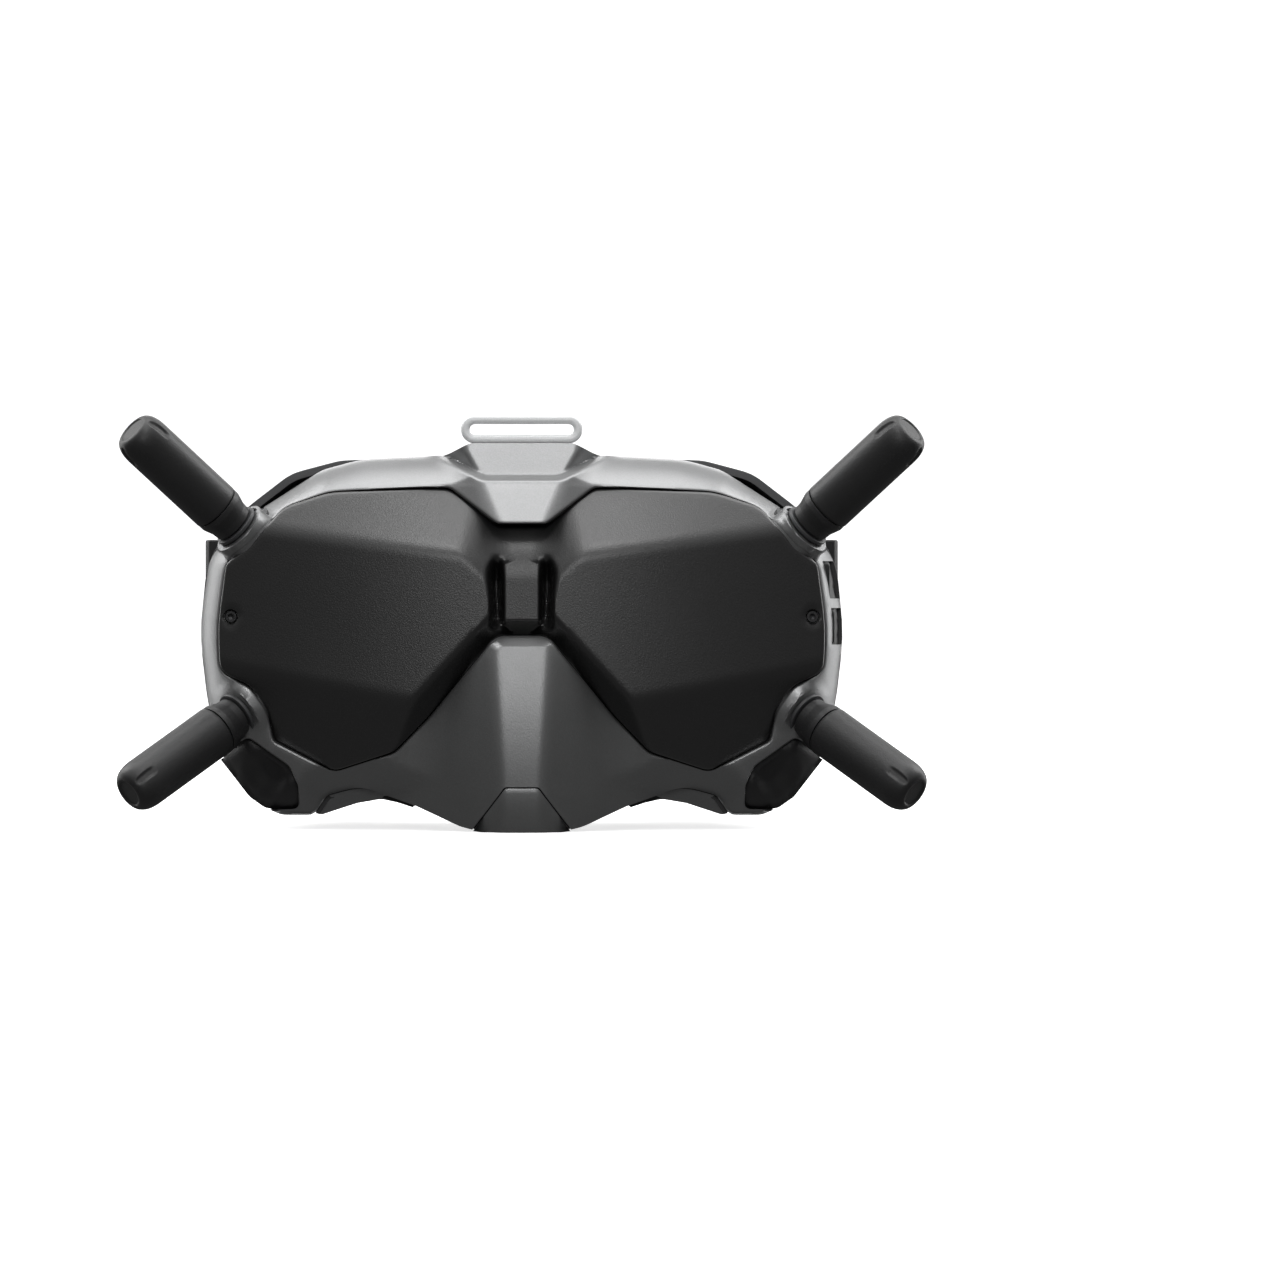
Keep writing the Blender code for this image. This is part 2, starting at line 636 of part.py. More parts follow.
def front_group():
    """Shell with bosses and openings, visor, nose cover, lower covers, vents, collars and screws."""
    shell = make("front_shell", shell_solid(), "silver_paint")
    bosses = []
    sockets = []
    openings = []
    screw_holes = []
    flare = [(0, -13.0), (BOSS_FLARE, -12.0), (BOSS_FLARE - 0.6, -5.0), (BOSS_RADIUS, -1.0), (0, -1.0)]
    for level in ANTENNA_SEATS:
        for side in (1, -1):
            centre, axis = seat(level, side)
            bosses.append(turned(flare, 20, centre, axis))
            sockets.append(turned(SOCKET_PROFILE, 20, centre, axis))
    for side in (flip, tuple):
        openings.append(side(prism(offset(loop_corners(VENT_CUT), GAP), -8.0, 60.0)))
        bore = turned([(0, 8), (1.1, 8), (1.1, 34), (0, 34)], 10, SCREW_SEAT, (0, 1, 0))
        screw_holes.append(side(bore))
    openings.append(prism(offset(loop_corners(NOSE_COVER_EDGE), GAP), -8.0, NOSE_COVER_BACK + GAP))
    for low, high in CHANNEL_KEYS.values():
        openings.append(block((80.0, 99.0), KEY_DEPTH, (low, high)))
    boss = boolean(shell, join(*bosses), "UNION")
    boolean(boss, prism(offset(VISOR_LOOP, BOSS_CLEARANCE), -20.0, 60.0))
    boolean(shell, join(*sockets))
    boolean(shell, join(*openings, *screw_holes))

    visor = make("visor", sheet(VISOR_LOOP, eye_lines(), 9.0, visor_depth, visor_back), "visor_black")
    screw_pits = []
    for side in (flip, tuple):
        screw_pits.append(side(turned([(0, 8), (2.1, 8), (2.1, 34), (0, 34)], 12, SCREW_SEAT, (0, 1, 0))))
    boolean(visor, join(*screw_pits))

    cover = sheet(loop_corners(NOSE_COVER_EDGE), [], 6.0, nose_depth, lambda x, z: NOSE_COVER_BACK)
    make("nose_cover", cover, "silver_paint")
    vent_loop = spaced(loop_corners(VENT_EDGE), 6.0)
    vent = sheet(vent_loop, [], 5.0, vent_depth, lambda x, z: SHELL_BACK - 0.2, 1.5)
    lower = prism(loop_corners(LOWER_COVER_EDGE), 36.4, 48.6)
    screw = turned(SCREW_PROFILE, 12, SCREW_SEAT, (0, 1, 0))
    for side, word in ((tuple, "left"), (flip, "right")):
        make("corner_vent_" + word, side(vent), "black_plastic")
        make("lower_cover_" + word, side(lower), "silver_paint")
        make("visor_screw_" + word, side(screw), "steel")
        for level in ANTENNA_SEATS:
            centre, axis = seat(level, 1 if word == "left" else -1)
            solid = turned(COLLAR_PROFILE, 20, centre, axis)
            make("antenna_collar_%s_%s" % (level, word), solid, "dark_casing")


def antenna_group():
    """Four screw-on antennas. Each turns about its own axis on its collar's pin."""
    for level in ANTENNA_SEATS:
        for side, word in ((1, "left"), (-1, "right")):
            centre, axis = seat(level, side)
            neck = turned(NECK_PROFILE, 20, centre, axis, hollow=True)
            sleeve = turned(SLEEVE_PROFILE, 20, centre, axis)
            tail = "_%s_%s" % (level, word)
            make("antenna_neck" + tail, neck, "antenna_black", centre)
            make("antenna_sleeve" + tail, sleeve, "antenna_black", centre)


def taper(loop, depth):
    """The rear casing's outline at a depth, narrowed toward the back."""
    share = (depth - REAR_FRONT) / (REAR_BACK - REAR_FRONT)
    scale = 1.0 + (REAR_TAPER - 1.0) * share
    return [(x * scale, TAPER_CENTRE + (z - TAPER_CENTRE) * scale) for x, z in loop]


def side_x(z, depth):
    """How far out the rear casing's side lies at a height and depth."""
    loop = taper(REAR_LOOP, depth)
    best = 0.0
    for index, (x2, z2) in enumerate(loop):
        x1, z1 = loop[index - 1]
        if (z1 > z) != (z2 > z):
            best = max(best, (x2 - x1) * (z - z1) / (z2 - z1) + x1)
    return best


def rear_solid():
    """Open casing behind the front shell, narrowing to the back."""
    levels = (REAR_FRONT, REAR_BACK)
    count = len(REAR_LOOP)
    points = []
    for inward in (0.0, -REAR_WALL):
        for depth in levels:
            points += [(x, depth, z) for x, z in offset(taper(REAR_LOOP, depth), inward)]
    faces = []
    for one, two in ((0, 1), (1, 3), (3, 2), (2, 0)):
        for index in range(count):
            after = (index + 1) % count
            near = (one * count + index, one * count + after)
            faces.append(near + (two * count + after, two * count + index))
    return points, faces


def foam_back(x, z):
    share = min(1.0, abs(x) / FOAM_HALF_WIDTH)
    return FOAM_MIDDLE_BACK + (FOAM_SIDE_BACK - FOAM_MIDDLE_BACK) * share * share


def stadium(x, z, radius, travel, segments=20):
    """Round hole stretched sideways by a travel each way."""
    loop = []
    for step in range(segments):
        angle = 2 * math.pi * (step + 0.5) / segments
        shift = travel if math.cos(angle) > 0 else -travel
        loop.append((x + shift + radius * math.cos(angle), z - radius * math.sin(angle)))
    return loop


def rear_group():
    """Rear casing with its openings, face plate, foam, strap anchors, loop and ports."""
    casing = make("rear_housing", rear_solid(), "dark_casing")
    cuts = []
    for x, depth, radius in TOP_HOLES:
        cuts.append(turned([(0, 94.0), (radius, 94.0), (radius, 112.0), (0, 112.0)], 16, (x, depth, 0)))
    for name, (side, z, width, height, _) in SIDE_INSERTS.items():
        x = side_x(z, INSERT_DEPTH)
        half = width / 2 + GAP
        tall = height / 2 + GAP
        hole = block((x - 6.0, x + 4.0), (INSERT_DEPTH - half, INSERT_DEPTH + half), (z - tall, z + tall))
        cuts.append(hole if side > 0 else flip(hole))
    slot = block((EYE_X - 7.5, EYE_X + 7.5), (49.5, 56.5), (2.0, 18.0))
    cuts += [slot, flip(slot)]
    boolean(casing, join(*cuts))

    plate_loop = offset(taper(REAR_LOOP, REAR_BACK), -0.2)
    plate = make("face_plate", prism(plate_loop, PLATE_FRONT, PLATE_BACK), "black_plastic")
    lens_hole = prism(stadium(EYE_X, EYE_Z, BARREL_RADIUS + 0.6, SPACING_TRAVEL), 70.0, 90.0)
    boolean(plate, join(lens_hole, flip(lens_hole)))

    foam_loop = offset(taper(REAR_LOOP, REAR_BACK), -0.8)
    foam = make("face_foam", sheet(foam_loop, [], 12.0, lambda x, z: FOAM_FRONT, foam_back), "face_foam")
    boolean(foam, prism(mirrored(rounded(FOAM_HOLE)), FOAM_FRONT - 5.0, FOAM_SIDE_BACK + 5.0))

    for side, word in ((tuple, "left"), (flip, "right")):
        solid = side(prism(ANCHOR_PLAN, *ANCHOR_RISE, axis=2))
        anchor = make("strap_anchor_" + word, solid, "black_plastic")
        boolean(anchor, side(block((80.0, 96.0), ANCHOR_SLOT_DEPTH, ANCHOR_SLOT_Z)))
        bevel(anchor, 0.8)

    make("loop_cradle", prism(cradle_loop(), -9.0, 9.0, axis=0), "black_plastic")
    make("top_strap_loop", loop_solid(), "loop_grey", LOOP_AXIS)
    window = block((-4.0, 4.0), (PLATE_BACK + 0.2, PLATE_BACK + 1.4), (66.0, 71.0))
    make("proximity_window", window, "screen_glass")

    for name, (side, z, width, height, material) in SIDE_INSERTS.items():
        x = side_x(z, INSERT_DEPTH) - 0.2
        half = width / 2
        tall = height / 2
        width_span = (INSERT_DEPTH - half, INSERT_DEPTH + half)
        solid = block((x - INSERT_LENGTH, x), width_span, (z - tall, z + tall))
        origin = (side * x, INSERT_DEPTH, z)
        item = make(name, solid if side > 0 else flip(solid), material, origin)
        if name in PORT_MOUTHS:
            wide, high = PORT_MOUTHS[name]
            if wide == high:
                pin = wide / 2 - PORT_PIN_RING
                mouth = tube(wide / 2, pin, x - 6.0, x + 3.0, 14, (0, INSERT_DEPTH, z), (1, 0, 0))
            else:
                mouth = block((x - 6.0, x + 3.0), (INSERT_DEPTH - wide / 2, INSERT_DEPTH + wide / 2),
                              (z - high / 2, z + high / 2))
            boolean(item, mouth if side > 0 else flip(mouth))


def cradle_loop():
    """Section of the block that holds the loop's lower bar from behind, as (depth, z)."""
    depth = LOOP_AXIS[1]
    z = LOOP_AXIS[2]
    radius = LOOP_BAR + 0.25
    arc = []
    for step in range(7):
        angle = math.radians(-50 + 100 * step / 6)
        arc.append((depth + radius * math.cos(angle), z + radius * math.sin(angle)))
    back = SHELL_BACK - 0.2
    return arc + [(depth + 2.6, z + 1.3), (back, z - 0.4), (back, 109.8), (depth + 1.4, 109.8)]


def loop_solid():
    """Flat ring of round bar, standing on its lower bar."""
    path = []
    half = LOOP_WIDTH / 2 - LOOP_BAR - LOOP_RISE / 2
    centre_z = LOOP_AXIS[2] + LOOP_RISE / 2
    for side in (1, -1):
        for step in range(7):
            angle = math.radians(90 - 30 * step) if side > 0 else math.radians(-90 - 30 * step)
            x = side * half + LOOP_RISE / 2 * math.cos(angle)
            path.append((x, centre_z + LOOP_RISE / 2 * math.sin(angle)))
    points = []
    count = len(path)
    sides = 10
    for index, (x, z) in enumerate(path):
        run = (Vector(path[(index + 1) % count]) - Vector(path[index - 1])).normalized()
        for step in range(sides):
            angle = 2 * math.pi * step / sides
            out = LOOP_BAR * math.cos(angle)
            points.append((x - run.y * out, LOOP_AXIS[1] + LOOP_BAR * math.sin(angle), z + run.x * out))
    faces = []
    for index in range(count):
        after = (index + 1) % count
        for step in range(sides):
            up = (step + 1) % sides
            near = (index * sides + step, index * sides + up)
            faces.append(near + (after * sides + up, after * sides + step))
    return points, faces


def optics_group():
    """Per eye a carriage that slides sideways on the rod: barrel, lens, display panel and knob."""
    barrel_base = (EYE_X, 0.0, EYE_Z)
    for side, word, sign in ((tuple, "left", 1), (flip, "right", -1)):
        origin = (sign * EYE_X, ROD_DEPTH, ROD_Z)
        barrel = tube(BARREL_RADIUS, BARREL_BORE, 46.0, 82.0, 24, barrel_base, (0, 1, 0))
        item = make("lens_barrel_" + word, side(barrel), "black_plastic", origin)
        top = EYE_Z + BARREL_RADIUS - 0.8
        low = EYE_Z - BARREL_RADIUS + 0.8
        ear = block((EYE_X - 5.0, EYE_X + 5.0), (52.0, 58.0), (top, ROD_Z + 3.0))
        leg = block((EYE_X - 3.0, EYE_X + 3.0), (51.0, 55.0), (KNOB_TOP + 0.3, low))
        boolean(item, side(join(ear, leg)), "UNION")
        bore = turned([(0, 20.0), (ROD_RADIUS + 0.3, 20.0), (ROD_RADIUS + 0.3, 50.0), (0, 50.0)], 12,
                      (0, ROD_DEPTH, ROD_Z), (1, 0, 0))
        boolean(item, side(bore))
        lens = turned([(0, 73.4), (8.0, 74.1), (BARREL_BORE - 0.2, 76.5), (BARREL_BORE - 0.2, 78.0),
                       (8.0, 80.6), (0, 81.4)], 24, barrel_base, (0, 1, 0))
        make("lens_" + word, side(lens), "lens_glass", origin)
        panel = block((EYE_X - 17.0, EYE_X + 17.0), (43.4, 45.7), (EYE_Z - 17.0, EYE_Z + 17.0))
        make("display_panel_" + word, side(panel), "screen_glass", origin)
        knob = make("spacing_knob_" + word, side(prism(KNOB_FRONT, 50.2, 55.8)), "black_plastic", origin)
        bevel(knob, 0.4)

    make("guide_rod", turned([(0, -64.0), (ROD_RADIUS, -64.0), (ROD_RADIUS, 64.0), (0, 64.0)], 12,
                             (0, ROD_DEPTH, ROD_Z), (1, 0, 0)), "steel")
    frame = [(-69, 93), (69, 93), (69, 83), (64.3, 83), (64.3, 90), (-64.3, 90), (-64.3, 83), (-69, 83)]
    make("optics_frame", prism(frame, 52.0, 58.0), "black_plastic")


def electronics_group():
    make("main_board", prism(BOARD_EDGE, 30.0, 31.6), "circuit_board")
    sink = [(-20, SINK_FRONT), (-20, 29.7), (20, 29.7), (20, SINK_FRONT)]
    for gap in range(SINK_GAPS):
        x = 17.7 - 4.4 * gap
        sink += [(x, SINK_FRONT), (x, SINK_ROOT), (x - 2.1, SINK_ROOT), (x - 2.1, SINK_FRONT)]
    make("heat_sink", prism(sink, 60.0, 84.0, axis=2), "aluminium")
    shield = make("radio_shield", block((24.0, 54.0), (31.9, 34.4), (60.0, 84.0)), "steel")
    bevel(shield, 0.5)
    base = block((-15.0, 15.0), (31.9, 33.2), (63.0, 93.0))
    housing = make("fan_housing", base, "black_plastic")
    rim = tube(14.9, 13.6, 32.6, 41.2, 24, (0, 0, FAN_Z), (0, 1, 0))
    pin = turned([(0, 32.6), (1.2, 32.6), (1.2, 40.6), (0, 40.6)], 10, (0, 0, FAN_Z), (0, 1, 0))
    boolean(housing, join(rim, pin), "UNION")
    blades = []
    for blade in range(FAN_BLADES):
        start = 2 * math.pi * blade / FAN_BLADES
        for angle, radius in BLADE_CORNERS:
            blades.append((radius * math.cos(start + angle), FAN_Z - radius * math.sin(start + angle)))
    impeller = make("fan_impeller", prism(blades, 34.2, 40.6), "black_plastic", (0.0, 37.4, FAN_Z))
    boolean(impeller, turned([(0, 30), (1.5, 30), (1.5, 45), (0, 45)], 10, (0, 0, FAN_Z), (0, 1, 0)))


def control_group():
    """Buttons: five-way control, record and back on top, channel keys on the left."""
    x, depth = TOP_HOLES[0][:2]
    pivot = (x, depth, FIVE_WAY_PIVOT)
    make("five_way_base", turned(FIVE_WAY_BASE, 16, (x, depth, 0)), "black_plastic")
    make("five_way_yoke", tube(4.6, 2.5, 97.2, 99.8, 16, (x, depth, 0)), "steel", pivot)
    stem = turned([(0, 96.8), (1.5, 96.8), (1.5, 103.3), (0, 103.3)], 12, (x, depth, 0))
    make("five_way_stem", stem, "steel", pivot)
    make("five_way_cap", turned(FIVE_WAY_CAP, 16, (x, depth, 0)), "black_plastic", pivot)
    for name, (x, depth, radius) in (("record_button", TOP_HOLES[1]), ("back_button", TOP_HOLES[2])):
        face = radius - 0.4
        profile = [(0, 99.2), (radius + 0.9, 99.2), (radius + 0.9, 100.6), (face, 100.6), (face, 104.3),
                   (face - 0.5, 104.8), (0, 104.9)]
        make(name, turned(profile, 16, (x, depth, 0)), "black_plastic", (x, depth, 100.0))
    for name, (low, high) in CHANNEL_KEYS.items():
        middle = (low + high) / 2
        face = KEY_FACE[name]
        key = block((82.8, face), (KEY_DEPTH[0] + GAP, KEY_DEPTH[1] - GAP), (low + GAP, high - GAP))
        item = make(name, key, "black_plastic", (face, 32.0, middle))
        bevel(item, 0.7)


def main():
    clear_scene()
    add_materials()
    front_group()
    antenna_group()
    rear_group()
    optics_group()
    electronics_group()
    control_group()


main()
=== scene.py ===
import math

import bmesh
import bpy
import numpy as np
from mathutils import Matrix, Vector
from mathutils.geometry import delaunay_2d_cdt


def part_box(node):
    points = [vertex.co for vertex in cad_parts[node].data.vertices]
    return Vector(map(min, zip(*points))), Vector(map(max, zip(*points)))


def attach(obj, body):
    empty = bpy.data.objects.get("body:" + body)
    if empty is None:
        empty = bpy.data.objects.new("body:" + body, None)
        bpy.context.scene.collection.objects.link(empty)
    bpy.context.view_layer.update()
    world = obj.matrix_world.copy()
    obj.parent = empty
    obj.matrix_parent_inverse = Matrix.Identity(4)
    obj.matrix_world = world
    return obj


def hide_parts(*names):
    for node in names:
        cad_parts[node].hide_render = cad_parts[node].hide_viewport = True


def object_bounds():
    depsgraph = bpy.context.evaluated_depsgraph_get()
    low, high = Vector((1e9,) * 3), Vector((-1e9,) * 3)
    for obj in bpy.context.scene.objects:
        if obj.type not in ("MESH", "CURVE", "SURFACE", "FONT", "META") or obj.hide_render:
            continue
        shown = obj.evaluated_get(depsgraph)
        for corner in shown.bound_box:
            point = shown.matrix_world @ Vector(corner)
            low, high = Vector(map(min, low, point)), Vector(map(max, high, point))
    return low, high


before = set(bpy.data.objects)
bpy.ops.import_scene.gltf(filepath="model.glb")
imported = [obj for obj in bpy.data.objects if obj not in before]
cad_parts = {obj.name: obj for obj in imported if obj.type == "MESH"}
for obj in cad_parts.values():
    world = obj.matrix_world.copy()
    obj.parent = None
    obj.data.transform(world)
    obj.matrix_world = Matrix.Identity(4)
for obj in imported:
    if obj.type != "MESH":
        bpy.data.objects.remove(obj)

CAD_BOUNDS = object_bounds()

MM = 0.001
MID_DEPTH = 59.91
GAP = 0.3
SHELL_BACK = 40.0
RIM_REACH = 9.0
RIM_DROP = 16.0
RIM_DEEPEST = 36.0
SKIN_DROP = 3.4
KEY_NODES = ("channel_up_button", "channel_down_button")
KEY_FRONT = 27.4
KEY_BACK = 36.4
BOSS_RADIUS = 8.4
SLEEVE_RADIUS = 7.25
NECK_LENGTH = 8.0
SLEEVE_LENGTH = 34.0
COLLAR_RADIUS = 6.8
REAR_FRONT = SHELL_BACK + GAP
REAR_BACK = 76.0
REAR_TAPER = 0.935
TAPER_CENTRE = 57.0
FOAM_FRONT = 79.1
FOAM_MIDDLE_BACK = 106.0
FOAM_SIDE_BACK = 122.0
FOAM_HALF_WIDTH = 84.0
LOOP_AXIS = (0.0, 36.6, 111.1)
LOOP_BAR = 1.25
LOOP_RISE = 5.5
LOOP_WIDTH = 34.7
NOSE_COVER_BACK = 6.0
SCREW_CENTRE = (82.0, 60.4)
LENS_CENTRE = (32.0, 62.0)
ANCHOR_LOW, ANCHOR_HIGH = 69.7, 82.8
COVER_FRONT = 36.45
SWELL_FRAMES = 20
SWELL_LIMIT = 1.3
SIDES = ((1, "left"), (-1, "right"))

ANTENNA_SEATS = {
    "upper": ((80.8, 22.0, 86.1), math.radians(43.4), math.radians(23.0)),
    "lower": ((80.6, 24.0, 32.4), math.radians(-36.5), math.radians(31.0)),
}
SHELL_EDGE = (
    (0, 109.6, 0), (14.6, 109.6, 4), (21.5, 106.3, 8), (46, 105.2, 30), (57, 102.2, 14), (73.6, 91.6, 12),
    (88.8, 78, 12), (92, 57, 60), (89.8, 38, 60), (86, 19.5, 9), (76.5, 7.4, 9), (68.5, 3.9, 6),
    (59.4, 3.9, 2.6), (55.6, 9.6, 4), (46, 12.2, 14), (30, 7, 14), (17.2, 1.4, 10), (11, 0, 3), (0, 0, 0),
)
REAR_EDGE = (
    (0, 106, 0), (30, 106, 20), (52, 105.2, 18), (66, 101.5, 16), (79, 91.5, 20), (90, 77, 24),
    (92, 57, 60), (89.8, 38, 60), (86, 21, 10), (77, 9.5, 10), (67, 7, 8), (52, 13, 12), (32, 10.5, 10),
    (20, 11.5, 7), (13, 36, 12), (0, 41.5, 0),
)
FOAM_HOLE = (
    (0, 87, 0), (40, 87, 18), (64, 79, 16), (72, 58, 26), (66, 32, 14), (50, 27, 10), (31, 29, 8),
    (20, 42, 6), (0, 53, 0),
)
VISOR_EDGE = (
    (0, 86.1, 0), (7, 86.1, 1.5), (20.5, 96.4, 4), (28, 96.4, 8), (54, 95.4, 20), (67.2, 91.2, 10),
    (76, 80.8, 4), (83.4, 75.4, 3), (85.8, 58, 60), (85.2, 44.8, 5), (76.5, 41, 8), (71.6, 34, 12),
    (69.9, 25.4, 2), (53, 16.8, 5), (36, 22.4, 6), (26, 32.6, 30), (7.8, 54.4, 3), (5.6, 55.2, 1),
    (0, 55.2, 0),
)
NOSE_COVER_EDGE = (
    (-4.6, 12.4, 1.2), (4.6, 12.4, 1.2), (13, 1.2, 0), (13.6, 0.4, 0),
    (11, 0, 0), (-11, 0, 0), (-13.6, 0.4, 0), (-13, 1.2, 0),
)
NOSE_COVER_CUT = ((-4.75, 12.65, 1.2), (4.75, 12.65, 1.2), (15.2, -1.1, 0), (-15.2, -1.1, 0))
LOWER_COVER_FOOT = ((30.5, 6.2, 0), (40, 8.4, 6), (47, 7.2, 6), (57, 3.9, 0.8), (58.4, 4.1, 0))
VENT_INNER = ((77.3, 26, 2), (65.9, 18, 4), (63.4, 12.5, 4), (63.6, 5.9, 2), (73, 5.6, 4))
VENT_EDGE = VENT_INNER + ((77.8, 9, 0), (86, 19.6, 0))
VENT_CUT = VENT_INNER + ((80, 4.5, 0), (92, 18.5, 0))
EYE_TOP_OUT = (60.8, 83.6)
EYE_TOP_IN = (15.9, 77.9)
EYE_SIDE_TOP = (10.2, 72.2)
EYE_SIDE_LOW = (8.2, 60.9)
EYE_LOW_IN = (28.1, 39.5)
EYE_LOW_MID = (35.5, 37.1)
EYE_LOW_OUT = (59.9, 41.6)


def rounded(corners, step_angle=6.0):
    """Replace each corner that has a radius by points on an arc."""
    points = []
    last = len(corners) - 1
    for index, (x, z, radius) in enumerate(corners):
        if radius == 0 or index in (0, last):
            points.append((float(x), float(z)))
            continue
        corner = Vector((x, z))
        before = Vector(corners[index - 1][:2]) - corner
        after = Vector(corners[index + 1][:2]) - corner
        opening = before.angle(after)
        cut = min(radius / math.tan(opening / 2), 0.48 * before.length, 0.48 * after.length)
        steps = max(2, round((math.pi - opening) / math.radians(step_angle)))
        start = corner + before.normalized() * cut
        end = corner + after.normalized() * cut
        for step in range(steps + 1):
            share = step / steps
            near = start.lerp(corner, share)
            points.append(tuple(near.lerp(corner.lerp(end, share), share)))
    return points


def loop_corners(corners, step_angle=10.0):
    points = rounded((corners[-1],) + tuple(corners) + (corners[0],), step_angle)[1:-1]
    area = sum(a[0] * b[1] - b[0] * a[1] for a, b in zip(points, points[1:] + points[:1]))
    return points if area < 0 else points[::-1]


def mirrored(half):
    return list(half) + [(-x, z) for x, z in reversed(half) if x > 0]


def spaced(loop, step):
    """Points at even steps round a closed loop."""
    loop = np.array(loop)
    after = np.roll(loop, -1, axis=0)
    sides = np.linalg.norm(after - loop, axis=1)
    total = sides.sum()
    count = max(8, int(round(total / step)))
    at = np.concatenate([[0.0], np.cumsum(sides)])
    closed = np.vstack([loop, loop[:1]])
    want = np.linspace(0.0, total, count, endpoint=False)
    return np.stack([np.interp(want, at, closed[:, 0]), np.interp(want, at, closed[:, 1])], axis=1)


def offset(loop, distance):
    """Move a clockwise loop outward (inward if negative)."""
    loop = np.array(loop)
    one = loop - np.roll(loop, 1, axis=0)
    two = np.roll(loop, -1, axis=0) - loop
    one = one / np.linalg.norm(one, axis=1)[:, None]
    two = two / np.linalg.norm(two, axis=1)[:, None]
    run = one + two
    normal = np.stack([-run[:, 1], run[:, 0]], axis=1)
    normal = normal / np.linalg.norm(normal, axis=1)[:, None]
    lean = np.maximum(0.5, normal[:, 0] * -one[:, 1] + normal[:, 1] * one[:, 0])
    return loop + normal * (distance / lean)[:, None]


def inside(points, loop):
    loop = np.array(loop)
    odd = np.zeros(len(points), bool)
    x, z = points[:, 0], points[:, 1]
    for (x1, z1), (x2, z2) in zip(np.roll(loop, 1, axis=0), loop):
        if z1 == z2:
            continue
        cross = ((z1 > z) != (z2 > z)) & (x < (x2 - x1) * (z - z1) / (z2 - z1) + x1)
        odd ^= cross
    return odd


def edge_distance(points, loop):
    loop = np.array(loop)
    best = np.full(len(points), np.inf)
    for start, end in zip(np.roll(loop, 1, axis=0), loop):
        run = end - start
        length = run @ run
        if length == 0:
            continue
        share = np.clip(((points - start) @ run) / length, 0.0, 1.0)
        gap = points - start - share[:, None] * run
        best = np.minimum(best, gap[:, 0] ** 2 + gap[:, 1] ** 2)
    return np.sqrt(best)


def soft_max(one, two, blend):
    close = np.maximum(blend - np.abs(one - two), 0.0) / blend
    return np.maximum(one, two) + close * close * blend * 0.25


def soft_min(one, two, blend):
    return -soft_max(-one, -two, blend)


def smooth_step(share):
    """Zero to one with level ends."""
    share = np.clip(share, 0.0, 1.0)
    return share * share * (3 - 2 * share)


def beyond(x, z, start, end):
    run = Vector(end) - Vector(start)
    return ((x - start[0]) * -run.y + (z - start[1]) * run.x) / run.length


SHELL_LOOP = mirrored(rounded(SHELL_EDGE))
VISOR_LOOP = mirrored(rounded(VISOR_EDGE))
COVER_LOOP = loop_corners(NOSE_COVER_EDGE)
VENT_LOOP = loop_corners(VENT_EDGE)
VENT_HOLE = loop_corners(VENT_CUT)
COARSE_SHELL = spaced(SHELL_LOOP, 2.0)


def flip_loop(loop):
    return np.array([(-x, z) for x, z in reversed(list(map(tuple, loop)))])


def sharp_loop(points):
    """Clockwise loop through points, with its corners kept sharp."""
    return loop_corners([(x, z, 0) for x, z in points])


def wall_at(level):
    """Walls that all end at one depth."""
    return lambda flat, depth: depth * 0 + level


def body_depth(x, z):
    return 12.0 + 0.0011 * x * x + 0.0022 * (z - 62.0) ** 2


def nose_depth(x, z):
    ridge = 0.0026 * (z - 22.0) ** 2 + 0.0105 * np.maximum(0.0, 12.0 - z) ** 2
    half_width = 5.2 + 0.065 * np.maximum(0.0, z - 6.0)
    side = ridge + 0.82 * (np.abs(x) - half_width)
    lip = ridge + 1.9 * (z - 52.6)
    return soft_max(soft_max(ridge, side, 1.2), lip, 1.0)


def brow_depth(x, z):
    front = 6.0 + 0.58 * (z - 86.1)
    half_width = 6.9 + 0.42 * (z - 86.1)
    side = front + (0.62 + 0.07 * np.maximum(0.0, z - 97.0)) * (np.abs(x) - half_width)
    return soft_max(front, side, 1.5)


def block_depth(x, z):
    """The top block: a flat face, with sides that fall back outward and down."""
    outward = 0.878 * (np.abs(x) - 11.5) - 0.48 * (z - 99.5)
    return 23.6 + 0.42 * (z - 103.0) + 1.3 * soft_max(outward, 0.0, 0.9)


def seat(level, side):
    centre, rise, lean = ANTENNA_SEATS[level]
    axis = (side * math.cos(lean) * math.cos(rise), -math.sin(lean), math.cos(lean) * math.sin(rise))
    return (side * centre[0], centre[1], centre[2]), axis


def boss_depth(x, z, level):
    """Front of a round boss along the antenna's axis, for points on the positive side."""
    centre, axis = seat(level, 1)
    qx, qz = x - centre[0], z - centre[2]
    part = qx * axis[0] + qz * axis[2]
    a = 1.0 - axis[1] ** 2
    b = -2.0 * part * axis[1]
    c = qx * qx + qz * qz - part * part - BOSS_RADIUS ** 2
    root = b * b - 4.0 * a * c
    near = (-b - np.sqrt(np.maximum(root, 0.0))) / (2.0 * a)
    far = (-b + np.sqrt(np.maximum(root, 0.0))) / (2.0 * a)
    cap = (-1.0 - part) / axis[1]
    enter = np.maximum(near, cap)
    return np.where((root > 0) & (enter < far), centre[1] + enter, 200.0)


def rim_roll(distance):
    share = 1.0 - np.minimum(1.0, distance / RIM_REACH)
    return RIM_DROP * (0.5 * share + 0.5 * (1.0 - np.sqrt(np.maximum(0.0, 1.0 - share * share))))


